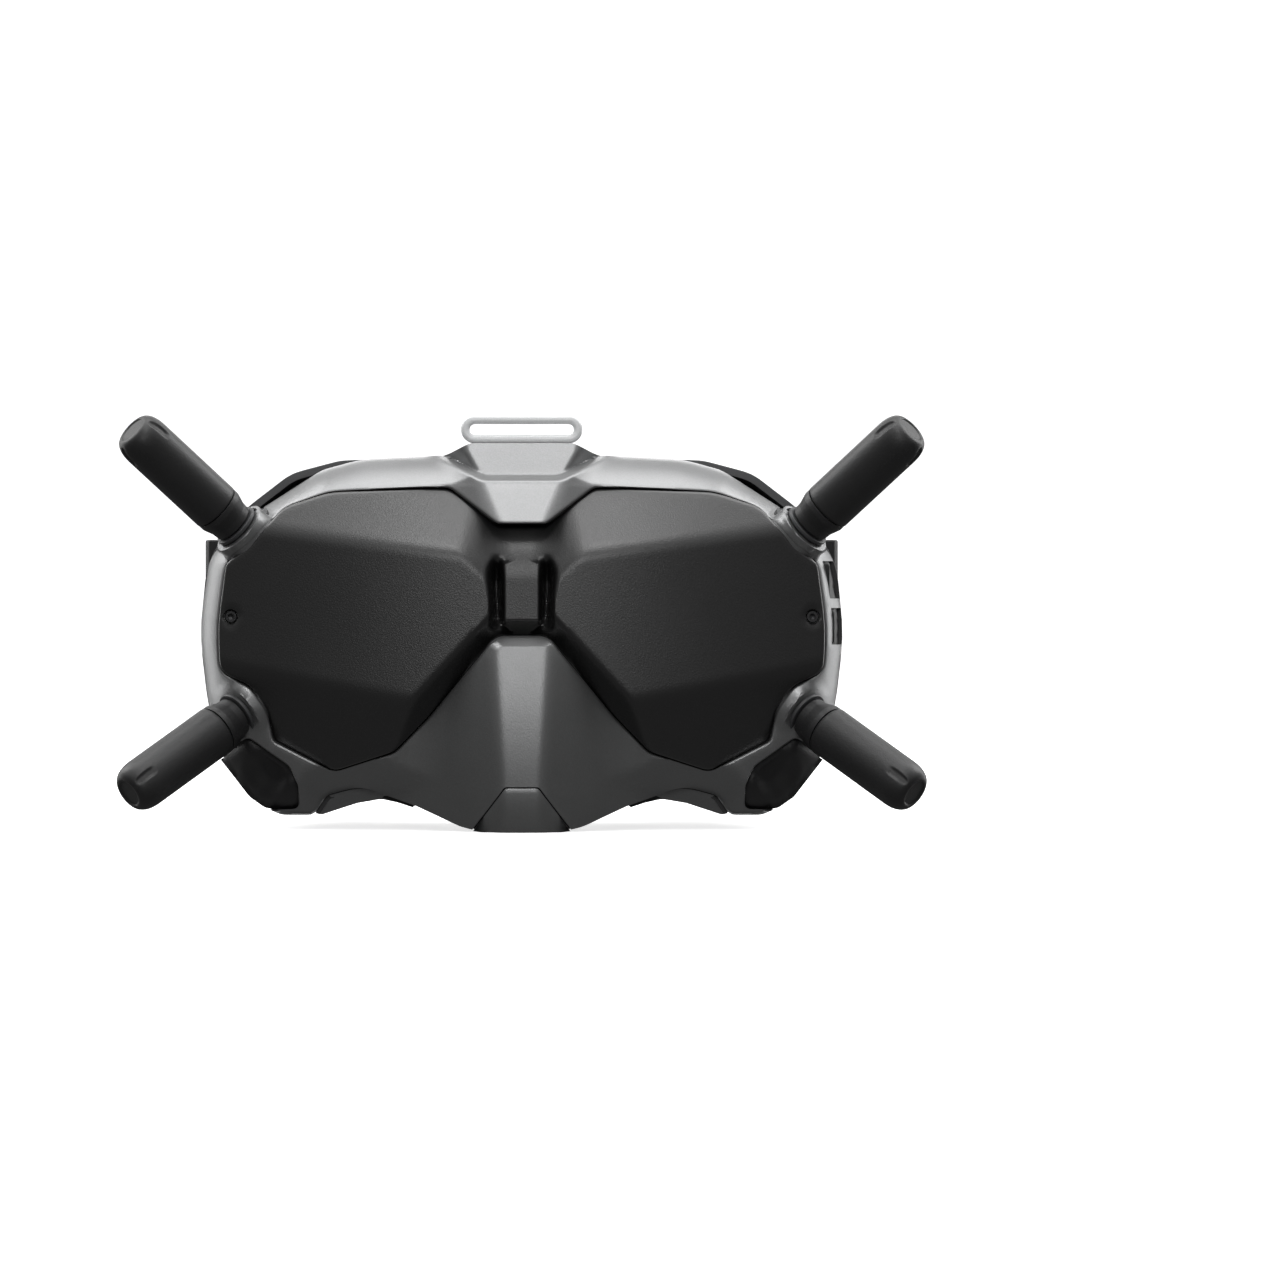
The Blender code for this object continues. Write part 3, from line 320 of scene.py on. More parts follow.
def skin_depth(points):
    """Depth of the shell's outer skin."""
    x, z = np.abs(points[:, 0]), points[:, 1]
    main = body_depth(x, z) + rim_roll(edge_distance(points, COARSE_SHELL))
    depth = soft_min(main, nose_depth(x, z), 4.0)
    above = 0.873 * (z - 99.3) - 0.488 * (x - 12.0)
    rise = soft_max(soft_min(z - 98.9, above, 1.0), 0.0, 0.9)
    front = soft_min(main, brow_depth(x, z), 3.0) + 5.5 * rise * smooth_step((27.0 - x) / 4.0)
    depth = np.where(z > 80.0, soft_min(front, block_depth(x, z), 1.4), depth)
    for level in ANTENNA_SEATS:
        depth = soft_min(depth, boss_depth(x, z, level), 3.0)
    return np.minimum(depth, RIM_DEEPEST)


def visor_depth(points):
    x, z = np.abs(points[:, 0]), points[:, 1]
    face = 4.5 + 0.0025 * (x - 8.0) ** 2
    eye = soft_max(face, face + 0.62 * beyond(x, z, EYE_TOP_IN, EYE_TOP_OUT), 1.5)
    eye = soft_max(eye, face + 0.7 * beyond(x, z, EYE_SIDE_TOP, EYE_TOP_IN), 1.5)
    walled = soft_max(eye, face + 3.0 * beyond(x, z, EYE_SIDE_LOW, EYE_SIDE_TOP), 1.5)
    eye = eye + (walled - eye) * smooth_step((76.5 - z) / 6.0)
    eye = soft_max(eye, face + 1.3 * beyond(x, z, EYE_LOW_IN, EYE_SIDE_LOW), 1.5)
    eye = soft_max(eye, face + 0.5 * beyond(x, z, EYE_LOW_OUT, EYE_LOW_MID), 1.5)
    bridge = soft_max(8.6 + 0.42 * soft_max(z - 75.5, 0.0, 5.0), 8.6 + 3.0 * (59.0 - z), 1.5)
    slot = smooth_step((x - 4.6) / 2.4) * smooth_step((9.4 - x) / 2.2)
    slot = slot * smooth_step((z - 56.0) / 4.0) * smooth_step((78.5 - z) / 8.5)
    middle = soft_min(eye, bridge, 2.2) + 6.5 * slot
    middle = np.minimum(17.5 + 1.1 * np.maximum(0.0, 57.0 - z), middle)
    return np.where(x < 16.0, middle, eye)


def roll_off(distance, radius):
    """Quarter-round drop next to an edge."""
    share = np.clip(1.0 - distance / radius, 0.0, 1.0)
    return radius * (1.0 - np.sqrt(np.maximum(0.0, 1.0 - share * share)))


def patch(outer, holes, rings, spacing, fine=None):
    """Triangles over a loop without its holes. Rings are extra loops that the triangles follow."""
    points = []
    edges = []
    spans = []
    for loop in [outer] + list(holes) + list(rings):
        first = len(points)
        points.extend(map(tuple, loop))
        spans.append((first, len(points)))
        edges.extend((first + k, first + (k + 1) % len(loop)) for k in range(len(loop)))
    flat = np.array(points)
    low, high = flat.min(axis=0), flat.max(axis=0)
    rows = int((high[1] - low[1]) / (spacing * 0.866)) + 1
    columns = int((high[0] - low[0]) / spacing) + 2
    grid = np.array([(low[0] + spacing * (c + 0.5 * (r % 2)), low[1] + spacing * 0.866 * r)
                     for r in range(rows + 1) for c in range(columns)])
    keep = inside(grid, outer)
    for hole in holes:
        keep &= ~inside(grid, hole)
    grid = grid[keep]
    room = np.full(len(grid), 0.62 * spacing)
    if fine:
        x_low, x_high, z_low, z_high, step = fine
        coarse = (grid[:, 0] < x_low) | (grid[:, 0] > x_high) | (grid[:, 1] < z_low) | (grid[:, 1] > z_high)
        grid = grid[coarse]
        extra = [(x_low + step * (c + 0.5 * (r % 2)), z_low + step * 0.866 * r)
                 for r in range(int((z_high - z_low) / (step * 0.866)) + 1)
                 for c in range(int((x_high - x_low) / step) + 1)]
        room = np.concatenate([room[:len(grid)], np.full(len(extra), 0.62 * step)])
        grid = np.vstack([grid, extra])
        within = inside(grid, outer)
        for hole in holes:
            within &= ~inside(grid, hole)
        grid, room = grid[within], room[within]
    for first, last in spans:
        kept = edge_distance(grid, flat[first:last]) > room
        grid, room = grid[kept], room[kept]
    points = [Vector(p) for p in points] + [Vector(p) for p in grid]
    found = delaunay_2d_cdt(points, edges, [], 0, 1e-7, True)
    coords = np.array([tuple(p) for p in found[0]])
    faces = np.array([f for f in found[2] if len(f) == 3])
    one, two, three = coords[faces[:, 0]], coords[faces[:, 1]], coords[faces[:, 2]]
    middle = (one + two + three) / 3.0
    area = np.abs(np.cross(two - one, three - one)) / 2.0
    keep = inside(middle, outer) & (area > 1e-6)
    for hole in holes:
        keep &= ~inside(middle, hole)
    return coords, faces[keep]


def raw_object(name, points, faces):
    """Object from (x, depth, z) points in millimetres, with no finish and on no body."""
    points = np.asarray(points, float)
    place = np.stack([points[:, 0], points[:, 1] - MID_DEPTH, points[:, 2]], axis=1) * MM
    mesh = bpy.data.meshes.new(name)
    shape = bmesh.new()
    verts = [shape.verts.new(p) for p in place]
    for face in faces:
        try:
            shape.faces.new([verts[int(k)] for k in face])
        except ValueError:
            continue
    loose = [v for v in shape.verts if not v.link_faces]
    bmesh.ops.delete(shape, geom=loose, context="VERTS")
    bmesh.ops.recalc_face_normals(shape, faces=shape.faces)
    shape.to_mesh(mesh)
    shape.free()
    item = bpy.data.objects.new(name, mesh)
    bpy.context.scene.collection.objects.link(item)
    return item


def mesh_object(name, points, faces, slot, body="goggles", smooth=40.0, cutters=()):
    """Finished piece that rides a body, with cutters taken out of it."""
    item = raw_object(name, points, faces)
    if cutters:
        for cutter in cutters:
            step = item.modifiers.new("cut", "BOOLEAN")
            step.operation = "DIFFERENCE"
            step.solver = "EXACT"
            step.object = cutter
        graph = bpy.context.evaluated_depsgraph_get()
        item.data = bpy.data.meshes.new_from_object(item.evaluated_get(graph))
        item.modifiers.clear()
        for cutter in cutters:
            bpy.data.objects.remove(cutter)
    item.data.materials.clear()
    item.data.materials.append(MATERIALS[slot])
    item.data.shade_smooth()
    item.data.set_sharp_from_angle(angle=math.radians(smooth))
    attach(item, body)
    return item


def rounded_box(u_low, u_high, v_low, v_high, radius):
    return loop_corners([(u_low, v_low, radius), (u_low, v_high, radius), (u_high, v_high, radius),
                         (u_high, v_low, radius)], 9.0)


def ring_faces(rings, count, closed=False):
    """Quads between rings of points that follow one another."""
    faces = []
    for ring in range(rings if closed else rings - 1):
        low, high = ring * count, (ring + 1) % rings * count
        for step in range(count):
            after = (step + 1) % count
            faces.append((low + step, low + after, high + after, high + step))
    return faces


def open_edges(faces):
    """Directed edges that only one triangle has, in the order they are met."""
    found = {}
    for face in faces:
        for one, two in ((0, 1), (1, 2), (2, 0)):
            key = (int(face[one]), int(face[two]))
            if key[::-1] in found:
                del found[key[::-1]]
            else:
                found[key] = True
    return list(found)


def swept(rings, axis):
    """Closed solid through rings of ((u, v) loop, level) along an axis, with flat ends."""
    points = []
    for loop, level in rings:
        for u, v in loop:
            points.append(((level, u, v), (u, level, v), (u, v, level))[axis])
    count = len(rings[0][0])
    faces = ring_faces(len(rings), count)
    faces.append(tuple(range(count))[::-1])
    faces.append(tuple(range((len(rings) - 1) * count, len(rings) * count)))
    return points, faces


def slab(loop, low, high, axis, radius=0.0, steps=4):
    """Loop carried from low to high along an axis, with rounded edges."""
    rings = []
    if radius == 0:
        return swept([(loop, low), (loop, high)], axis)
    for k in range(steps + 1):
        angle = math.pi / 2 * k / steps
        rings.append((offset(loop, -radius * (1 - math.sin(angle))), low + radius * (1 - math.cos(angle))))
    for k in range(steps, -1, -1):
        angle = math.pi / 2 * k / steps
        rings.append((offset(loop, -radius * (1 - math.sin(angle))), high - radius * (1 - math.cos(angle))))
    return swept(rings, axis)


def side_points(points, side):
    return [(side * x, y, z) for x, y, z in points]


def box_mm(node):
    """A CAD node's box as (x, depth, z) corners in millimetres."""
    low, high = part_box(node)
    return tuple([corner.x / MM, corner.y / MM + MID_DEPTH, corner.z / MM] for corner in (low, high))


def turned(profile, segments=64, base=(0, 0, 0), axis=(0, 0, 1), hollow=False):
    """Turn (radius, height) points about an axis."""
    turn = Vector(axis).normalized().to_track_quat("Z", "Y").to_matrix()
    points = []
    rings = []
    for radius, height in profile:
        count = 1 if radius == 0 else segments
        ring = []
        for step in range(count):
            angle = 2 * math.pi * (step + 0.5) / segments
            local = Vector((radius * math.cos(angle), radius * math.sin(angle), height))
            ring.append(len(points))
            points.append(tuple(Vector(base) + turn @ local))
        rings.append(ring)
    faces = []
    pairs = list(zip(rings[:-1], rings[1:])) + ([(rings[-1], rings[0])] if hollow else [])
    for low, high in pairs:
        for step in range(segments):
            after = (step + 1) % segments
            corners = [low[step % len(low)], low[after % len(low)],
                       high[after % len(high)], high[step % len(high)]]
            kept = [corner for index, corner in enumerate(corners) if corner not in corners[:index]]
            if len(kept) > 2:
                faces.append(kept)
    return points, faces


def relief(outer, holes, spacing, depth_of, lips, wall_to, rings=(), fine=None):
    """Relief over a loop with holes: edges roll back beside the lips, with walls behind every edge."""
    flat, faces = patch(outer, holes, rings, spacing, fine)
    depth = depth_of(flat)
    for loop, radius in lips:
        depth = depth + roll_off(edge_distance(flat, loop), radius)
    points = np.stack([flat[:, 0], depth, flat[:, 1]], axis=1)
    sides = open_edges(faces)
    rim = sorted({index for side in sides for index in side})
    back = wall_to(flat[rim], depth[rim])
    place = {index: len(points) + step for step, index in enumerate(rim)}
    points = np.vstack([points, np.stack([flat[rim, 0], back, flat[rim, 1]], axis=1)])
    faces = [tuple(face) for face in faces]
    faces += [(one, two, place[two], place[one]) for one, two in sides]
    return points, faces


def wire(tree, kind, **inputs):
    """New shader node, its inputs set to values or linked to sockets; underscores stand for spaces."""
    node = tree.nodes.new("ShaderNode" + kind)
    fill(tree, node, **inputs)
    return node


def fill(tree, node, **inputs):
    for name, value in inputs.items():
        socket = node.inputs[name.replace("_", " ")]
        if isinstance(value, bpy.types.NodeSocket):
            tree.links.new(value, socket)
        else:
            socket.default_value = value


def mix(tree, blend, share, one, two):
    """Colour mix of two colours, each a value or a socket."""
    node = tree.nodes.new("ShaderNodeMix")
    node.data_type = "RGBA"
    node.blend_type = blend
    fill(tree, node, Factor=share)
    for index, value in ((6, one), (7, two)):
        if isinstance(value, bpy.types.NodeSocket):
            tree.links.new(value, node.inputs[index])
        else:
            node.inputs[index].default_value = value
    return node.outputs[2]


def noise_bump(tree, coords, scale, strength, distance, detail=6.0, **below):
    noise = wire(tree, "TexNoise", Scale=scale, Detail=detail, Vector=coords).outputs["Fac"]
    bump = wire(tree, "Bump", Strength=strength, Distance=distance, Height=noise, **below)
    return bump.outputs["Normal"], noise


def surface(name, base, rough, metallic=0.0, grain=(2600.0, 0.12), broad=0.08, rough_span=0.08,
            specular=0.5, coat=0.0, sheen=0.0, second=None, edge=0.0):
    """Procedural finish: fine grain, broad tone changes, uneven gloss and lighter worn edges."""
    made = bpy.data.materials.new(name)
    made.use_nodes = True
    tree = made.node_tree
    where = tree.nodes.new("ShaderNodeTexCoord").outputs["Object"]
    normal, fine = noise_bump(tree, where, grain[0], grain[1], 0.00012)
    if second:
        normal = noise_bump(tree, where, second[0], second[1], 0.0004, 3.0, Normal=normal)[0]
    cloud = wire(tree, "TexNoise", Scale=38.0, Detail=4.0, Vector=where).outputs["Fac"]
    ramp = wire(tree, "ValToRGB", Fac=cloud)
    for stop, place, tone in zip(ramp.color_ramp.elements, (0.3, 0.7), (1 - broad, 1 + broad)):
        stop.position = place
        stop.color = tuple(min(1.0, c * tone) for c in base) + (1.0,)
    tone = wire(tree, "MapRange", To_Min=0.86, To_Max=1.14, Value=fine).outputs["Result"]
    colour = mix(tree, "MULTIPLY", 1.0, ramp.outputs["Color"], tone)
    if edge > 0:
        shape = tree.nodes.new("ShaderNodeNewGeometry").outputs["Pointiness"]
        worn = wire(tree, "MapRange", From_Min=0.53, From_Max=0.62, To_Max=edge, Value=shape)
        bright = tuple(min(1.0, c * 2.2 + 0.02) for c in base) + (1.0,)
        colour = mix(tree, "MIX", worn.outputs["Result"], colour, bright)
    gloss = wire(tree, "MapRange", To_Min=max(0.02, rough - rough_span), To_Max=min(1.0, rough + rough_span),
                 Value=cloud)
    fill(tree, tree.nodes["Principled BSDF"], Base_Color=colour, Roughness=gloss.outputs["Result"],
         Normal=normal, Metallic=metallic, Specular_IOR_Level=specular, Coat_Weight=coat,
         Coat_Roughness=0.12, Sheen_Weight=sheen)
    return made


MATERIALS = {
    "silver_paint": surface("satin_silver", (0.25, 0.252, 0.254), 0.38, 0.8, (2300, 0.28), 0.03, 0.05,
                            edge=0.1),
    "visor_black": surface("visor_black", (0.006, 0.006, 0.0062), 0.37, 0, (2400, 0.45), 0.06, 0.03, 1),
    "dark_casing": surface("dark_casing", (0.05, 0.051, 0.053), 0.48, 0, (2800, 0.2), 0.06, 0.07, edge=0.2),
    "antenna_black": surface("antenna_black", (0.019, 0.019, 0.0195), 0.46, 0, (2200, 0.35), 0.08, 0.06,
                             second=(700, 0.12)),
    "loop_grey": surface("loop_grey", (0.84, 0.85, 0.855), 0.27, 0, (2600, 0.04), 0.03, 0.04, coat=0.3),
    "face_foam": surface("face_foam", (0.03, 0.03, 0.032), 0.92, 0, (1500, 0.7), 0.15, 0.05, 0.25,
                         sheen=0.5, second=(420, 0.35)),
    "steel": surface("machined_steel", (0.42, 0.42, 0.43), 0.3, 1, (1800, 0.12), 0.06, 0.1),
    "blackened_steel": surface("blackened_steel", (0.035, 0.035, 0.036), 0.34, 0.9, (1800, 0.12), 0.06, 0.1),
    "black_plastic": surface("black_plastic", (0.014, 0.014, 0.015), 0.5, 0, (2400, 0.3), 0.1, edge=0.25),
    "screen_glass": surface("screen_glass", (0.006, 0.006, 0.009), 0.09, 0, (1200, 0.01), 0.2, 0.04, coat=1),
    "lens_glass": surface("lens_glass", (0.03, 0.035, 0.05), 0.04, 0, (900, 0.005), 0.1, 0.01, 0.8, coat=1),
    "aluminium": surface("aluminium", (0.55, 0.55, 0.57), 0.36, 1, (1500, 0.2), 0.05, 0.08),
    "circuit_board": surface("circuit_board", (0.01, 0.07, 0.035), 0.4, 0, (900, 0.3), 0.25, 0.1),
}


def key_recess(node):
    """Outline of a key's recess as the front sees it, from its floor out past the shell's edge."""
    low, high = box_mm(node)
    across = np.linspace(78.0, 91.0, 261)
    floor = []
    for z in np.linspace(low[2] - GAP, high[2] + GAP, 13):
        depth = skin_depth(np.stack([across, across * 0 + z], axis=1))
        floor.append((float(across[np.argmax(depth > KEY_FRONT)]), float(z)))
    past_edge = [(97.0, floor[-1][1]), (97.0, floor[0][1])]
    return np.array(sharp_loop(floor + past_edge))


def build_keys():
    """Rounded keys in the shell's side, and the shell's edge behind their recesses."""
    for node in KEY_NODES:
        low, high = box_mm(node)
        loop = rounded_box(low[1], high[1], low[2], high[2], 1.9)
        points, faces = slab(loop, low[0], high[0], 0, 0.7)
        key = mesh_object("key_skin_" + node, points, faces, "black_plastic", node + "_body")
        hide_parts(node)
        recess = key_recess(node)
        band = [tuple(p) for p in offset(SHELL_LOOP, -0.02)
                if low[2] - 0.6 < p[1] < high[2] + 0.6 and p[0] > 60]
        heights = np.linspace(low[2] - 0.5, high[2] + 0.5, 12)
        band += [(float(np.interp(z, *shell_side())), float(z)) for z in heights]
        edge = sorted(band, key=lambda q: q[1])
        innermost = min(p[0] for p in recess) - 0.4
        inner = [(innermost, edge[-1][1]), (innermost, edge[0][1])]
        ledge = sharp_loop(edge + inner)
        mesh_object("key_ledge_" + node, *slab(ledge, KEY_BACK, SHELL_BACK - 0.05, 1), "black_plastic")


def shell_side():
    """Heights and widths of the shell's outer side, for reading its width at a height."""
    side = sorted((p[1], p[0]) for p in offset(SHELL_LOOP, -0.02) if p[0] > 60 and 30 < p[1] < 90)
    return [p[0] for p in side], [p[1] for p in side]


def build_shell():
    """Front shell's skin: rolled edges, walls behind them and openings for the pieces set into it."""
    outline = spaced(SHELL_LOOP, 1.1)
    visor_hole = spaced(offset(VISOR_LOOP, 0.3), 1.1)
    cover_hole = spaced(loop_corners(NOSE_COVER_CUT), 0.6)
    vent = spaced(offset(VENT_HOLE, 0.25), 0.8)
    other_vent = flip_loop(vent)
    recesses = [key_recess(node) for node in KEY_NODES]
    rings = [offset(visor_hole, step) for step in (0.12, 0.35, 0.75)]
    rings += [offset(outline, -step) for step in (0.15, 0.5, 1.1)]
    rings += [offset(cover_hole, 0.2), offset(vent, 0.35), flip_loop(offset(vent, 0.35))]

    def wall_to(flat, depth):
        at_visor = edge_distance(flat, visor_hole) < 0.05
        at_cover = edge_distance(flat, cover_hole) < 0.05
        back = np.where(at_cover & (depth < 12.0), depth + 3.0, SHELL_BACK - 0.05)
        back = np.where(at_visor, depth + 4.0, back)
        for recess in recesses:
            back = np.where(edge_distance(flat, recess) < 0.05, KEY_BACK, back)
        return back

    lips = [(visor_hole, 0.7), (cover_hole, 0.25), (vent, 0.8), (other_vent, 0.8)]
    holes = [visor_hole, cover_hole, vent, other_vent] + recesses
    points, faces = relief(outline, holes, 1.5, skin_depth, lips, wall_to, rings,
                           (-30.0, 30.0, 84.0, 112.0, 0.5))
    shell = mesh_object("shell_skin", points, faces, "silver_paint")
    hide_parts("front_shell")
    return shell


def build_lining():
    """Dark inside of the shell, which backs every seam."""
    outline = spaced(offset(spaced(SHELL_LOOP, 1.1), -0.2), 1.4)
    vent = spaced(offset(VENT_HOLE, -1.3), 2.0)
    holes = [spaced(VISOR_LOOP, 2.0), vent, flip_loop(vent)]
    flat, faces = patch(outline, holes, (), 2.2)
    depth = np.minimum(skin_depth(flat) + SKIN_DROP, SHELL_BACK - 0.3)
    points = np.stack([flat[:, 0], depth, flat[:, 1]], axis=1)
    mesh_object("shell_lining", points, faces, "black_plastic")


def build_block_back():
    """Wall that closes the top block from behind, where it stands above the rear casing."""
    top = sorted([tuple(p) for p in offset(SHELL_LOOP, -0.25) if p[1] > 100.0 and abs(p[0]) < 34.0])
    loop = sharp_loop([(top[-1][0], 96.0), (top[0][0], 96.0)] + top)
    points, faces = slab(loop, SHELL_BACK - 2.2, SHELL_BACK - 0.1, 1)
    mesh_object("block_back_wall", points, faces, "silver_paint")


def build_visor():
    outline = spaced(VISOR_LOOP, 1.1)
    rings = [offset(outline, -step) for step in (0.15, 0.4, 0.8)]
    screw_holes = []
    for side in (1, -1):
        screw_holes.append(np.array([(side * SCREW_CENTRE[0] + 2.1 * math.cos(a),
                                      SCREW_CENTRE[1] - 2.1 * math.sin(a))
                                     for a in np.linspace(0, 2 * math.pi, 32, endpoint=False)]))
    lips = [(outline, 0.7)] + [(hole, 0.3) for hole in screw_holes]
    points, faces = relief(outline, screw_holes, 1.2, visor_depth, lips,
                           lambda flat, depth: np.maximum(depth + 1.6, skin_depth(flat) + 3.0), rings,
                           (-13.0, 13.0, 53.0, 88.0, 0.42))
    visor = mesh_object("visor_skin", points, faces, "visor_black")
    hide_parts("visor")


def cover_depth(flat):
    return nose_depth(flat[:, 0], flat[:, 1])


def vent_depth(flat):
    """Face of the corner vent: below the shell's skin, with a bowl in the middle."""
    x, z = np.abs(flat[:, 0]), flat[:, 1]
    bowl = np.clip(1.0 - ((x - 72.5) ** 2 + (z - 15.5) ** 2) / 55.0, 0.0, 1.0)
    bowl = bowl * bowl * (3 - 2 * bowl)
    return np.minimum(skin_depth(flat) + 2.6 + 3.0 * bowl, SHELL_BACK - 1.5)


def build_small_front():
    points, faces = relief(spaced(COVER_LOOP, 0.6), [], 0.9, cover_depth, [(COVER_LOOP, 0.12)],
                           wall_at(NOSE_COVER_BACK))
    cover = mesh_object("nose_cover_skin", points, faces, "silver_paint")
    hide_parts("nose_cover")
    loop = spaced(VENT_LOOP, 0.8)
    for word, outline in (("left", loop), ("right", flip_loop(loop))):
        points, faces = relief(outline, [], 1.1, vent_depth, [(outline, 0.5)],
                               wall_at(SHELL_BACK - 0.3))
        vent = mesh_object("corner_vent_skin_" + word, points, faces, "black_plastic")
        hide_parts("corner_vent_" + word)


def build_lower_covers():
    """Covers under the cheeks: their upper edge follows the shell's at an even seam."""
    edge = offset(SHELL_LOOP, 0.28)
    upper = [tuple(p) for p in edge if 30.5 < p[0] < 59.2 and p[1] < 13.0]
    foot = rounded(LOWER_COVER_FOOT)
    upper.sort(key=lambda p: -p[0])
    loop = sharp_loop(upper + foot)
    for word, outline in (("left", spaced(loop, 0.7)), ("right", flip_loop(spaced(loop, 0.7)))):
        points, faces = relief(outline, [], 1.0, lambda flat: COVER_FRONT + 0.42 * (12.4 - flat[:, 1]),
                               [(outline, 0.25)], wall_at(48.5))
        cover = mesh_object("lower_cover_skin_" + word, points, faces, "silver_paint")
        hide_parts("lower_cover_" + word)
    inner = [tuple(p) for p in offset(SHELL_LOOP, -1.2) if 29.5 < p[0] < 60.0 and p[1] < 14.5]
    outer = [tuple(p) for p in offset(SHELL_LOOP, 1.3) if 31.0 < p[0] < 58.0 and p[1] < 12.5]
    inner.sort(key=lambda p: p[0])
    outer.sort(key=lambda p: -p[0])
    bed = sharp_loop(inner + outer)
    for side, word in SIDES:
        points, faces = slab(bed, 38.0, 39.6, 1)
        mesh_object("lower_seam_bed_" + word, side_points(points, side), faces, "black_plastic")


def build_screws():
    """Socket screws sunk in the visor's corners."""
    rings = [(0.0, 20.4, False), (0.78, 20.3, True), (0.8, 19.05, True), (0.86, 18.92, False),
             (1.55, 18.92, False), (1.75, 19.1, False), (1.75, 20.6, False)]
    sides = 48
    for side, word in SIDES:
        points = []
        for radius, height, socket in rings:
            for step in range(sides):
                angle = 2 * math.pi * step / sides
                reach = radius
                if socket:
                    reach = radius / math.cos((angle % (math.pi / 3)) - math.pi / 6)
                points.append((side * SCREW_CENTRE[0] + reach * math.cos(angle), height,
                               SCREW_CENTRE[1] + reach * math.sin(angle)))
        screw = mesh_object("screw_skin_" + word, points, ring_faces(len(rings), sides), "blackened_steel")
        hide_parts("visor_screw_" + word)
        base = (side * SCREW_CENTRE[0], 18.0, SCREW_CENTRE[1])
        ring = ((2.08, 0.0), (2.08, 3.0), (1.9, 3.0), (0.0, 3.0))
        mesh_object("screw_pocket_" + word, *turned(ring, 48, base, (0, 1, 0)), "visor_black")


SLEEVE_TOP = NECK_LENGTH + SLEEVE_LENGTH
SLEEVE_SHAPE = (
    (0, NECK_LENGTH + GAP, 0), (SLEEVE_RADIUS - 0.15, NECK_LENGTH + GAP, 0),
    (SLEEVE_RADIUS, NECK_LENGTH + GAP + 0.15, 0),
) + tuple(
    (3.95 + (SLEEVE_RADIUS - 3.95) * math.cos(a) ** 0.85, SLEEVE_TOP - 6.4 + 6.4 * math.sin(a) ** 0.85, 0)
    for a in np.linspace(0.0, math.pi / 2 - 0.0001, 16)
) + (
    (3.9, SLEEVE_TOP - 0.05, 0), (3.75, SLEEVE_TOP - 0.3, 0), (3.6, SLEEVE_TOP - 0.35, 0),
    (0, SLEEVE_TOP - 0.35, 0),
)
NECK_SHAPE = (
    (3.4, 0.9, 0), (6.0, 0.9, 0.25), (6.2, 3.3, 0.8), (7.15, 6.3, 1.5), (7.15, NECK_LENGTH - 0.05, 0.15),
    (3.4, NECK_LENGTH - 0.05, 0),
)
COLLAR_SHAPE = (
    (0, -7.0, 0), (4.2, -7.0, 0), (4.2, -0.65, 0), (COLLAR_RADIUS, -0.65, 0.3),
    (COLLAR_RADIUS, 0.45, 0.3), (3.0, 0.45, 0), (3.0, 4.5, 0), (0, 4.5, 0),
)
BOSS_SHAPE = (
    (4.7, -15.0, 0), (BOSS_RADIUS - 0.1, -15.0, 0), (BOSS_RADIUS - 0.1, -1.02, 0.45),
    (7.4, -1.02, 0.2), (7.2, -2.2, 0), (4.7, -2.2, 0),
)


def notch_sleeve(item, centre, axis):
    """Press three shallow grooves into the sleeve's shoulder."""
    along = Vector(axis).normalized()
    turn = along.to_track_quat("Z", "Y").to_matrix()
    base = Vector((centre[0], centre[1] - MID_DEPTH, centre[2])) * MM
    top = (NECK_LENGTH + SLEEVE_LENGTH) * MM
    for vert in item.data.vertices:
        local = turn.transposed() @ (vert.co - base)
        if local.z < top - 8.5 * MM or local.z > top - 0.4 * MM:
            continue
        angle = math.atan2(local.y, local.x)
        for step in range(3):
            away = (angle - math.radians(30 + 120 * step) + math.pi) % (2 * math.pi) - math.pi
            across = away * 6.0 * MM
            down = local.z - (top - 4.2 * MM)
            reach = math.hypot(max(0.0, abs(across) - 0.3 * MM) / (0.75 * MM),
                               max(0.0, abs(down) - 2.0 * MM) / (1.2 * MM))
            if reach < 1.0:
                press = 0.55 * MM * (1 - reach * reach) ** 0.6
                shrink = 1 - press / max(0.002, math.hypot(local.x, local.y))
                moved = Vector((local.x * shrink, local.y * shrink, local.z))
                vert.co = base + turn @ moved


def dense(profile, step):
    """Add points to a profile so that no side is longer than the step."""
    points = []
    for start, end in zip(profile[:-1], profile[1:]):
        count = max(1, math.ceil(math.dist(start, end) / step))
        points += [(start[0] + (end[0] - start[0]) * k / count, start[1] + (end[1] - start[1]) * k / count)
                   for k in range(count)]
    return points + [profile[-1]]


def build_antennas():
    for level in ANTENNA_SEATS:
        for side, word in SIDES:
            centre, axis = seat(level, side)
            tail = "_%s_%s" % (level, word)
            body = "antenna" + tail
            profile = dense(rounded(SLEEVE_SHAPE, 9.0), 0.6)
            sleeve = mesh_object("sleeve_skin" + tail, *turned(profile, 180, centre, axis), "antenna_black",
                                 body, 50.0)
            notch_sleeve(sleeve, centre, axis)
            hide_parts("antenna_sleeve" + tail)
            neck = mesh_object("neck_skin" + tail, *turned(rounded(NECK_SHAPE), 96, centre, axis, True),
                               "antenna_black", body, 50.0)
            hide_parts("antenna_neck" + tail)
            collar = mesh_object("collar_skin" + tail, *turned(rounded(COLLAR_SHAPE), 96, centre, axis),
                                 "dark_casing", "goggles", 50.0)
            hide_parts("antenna_collar" + tail)
            mesh_object("boss_skin" + tail, *turned(rounded(BOSS_SHAPE), 120, centre, axis, True),
                        "silver_paint", "goggles", 50.0)


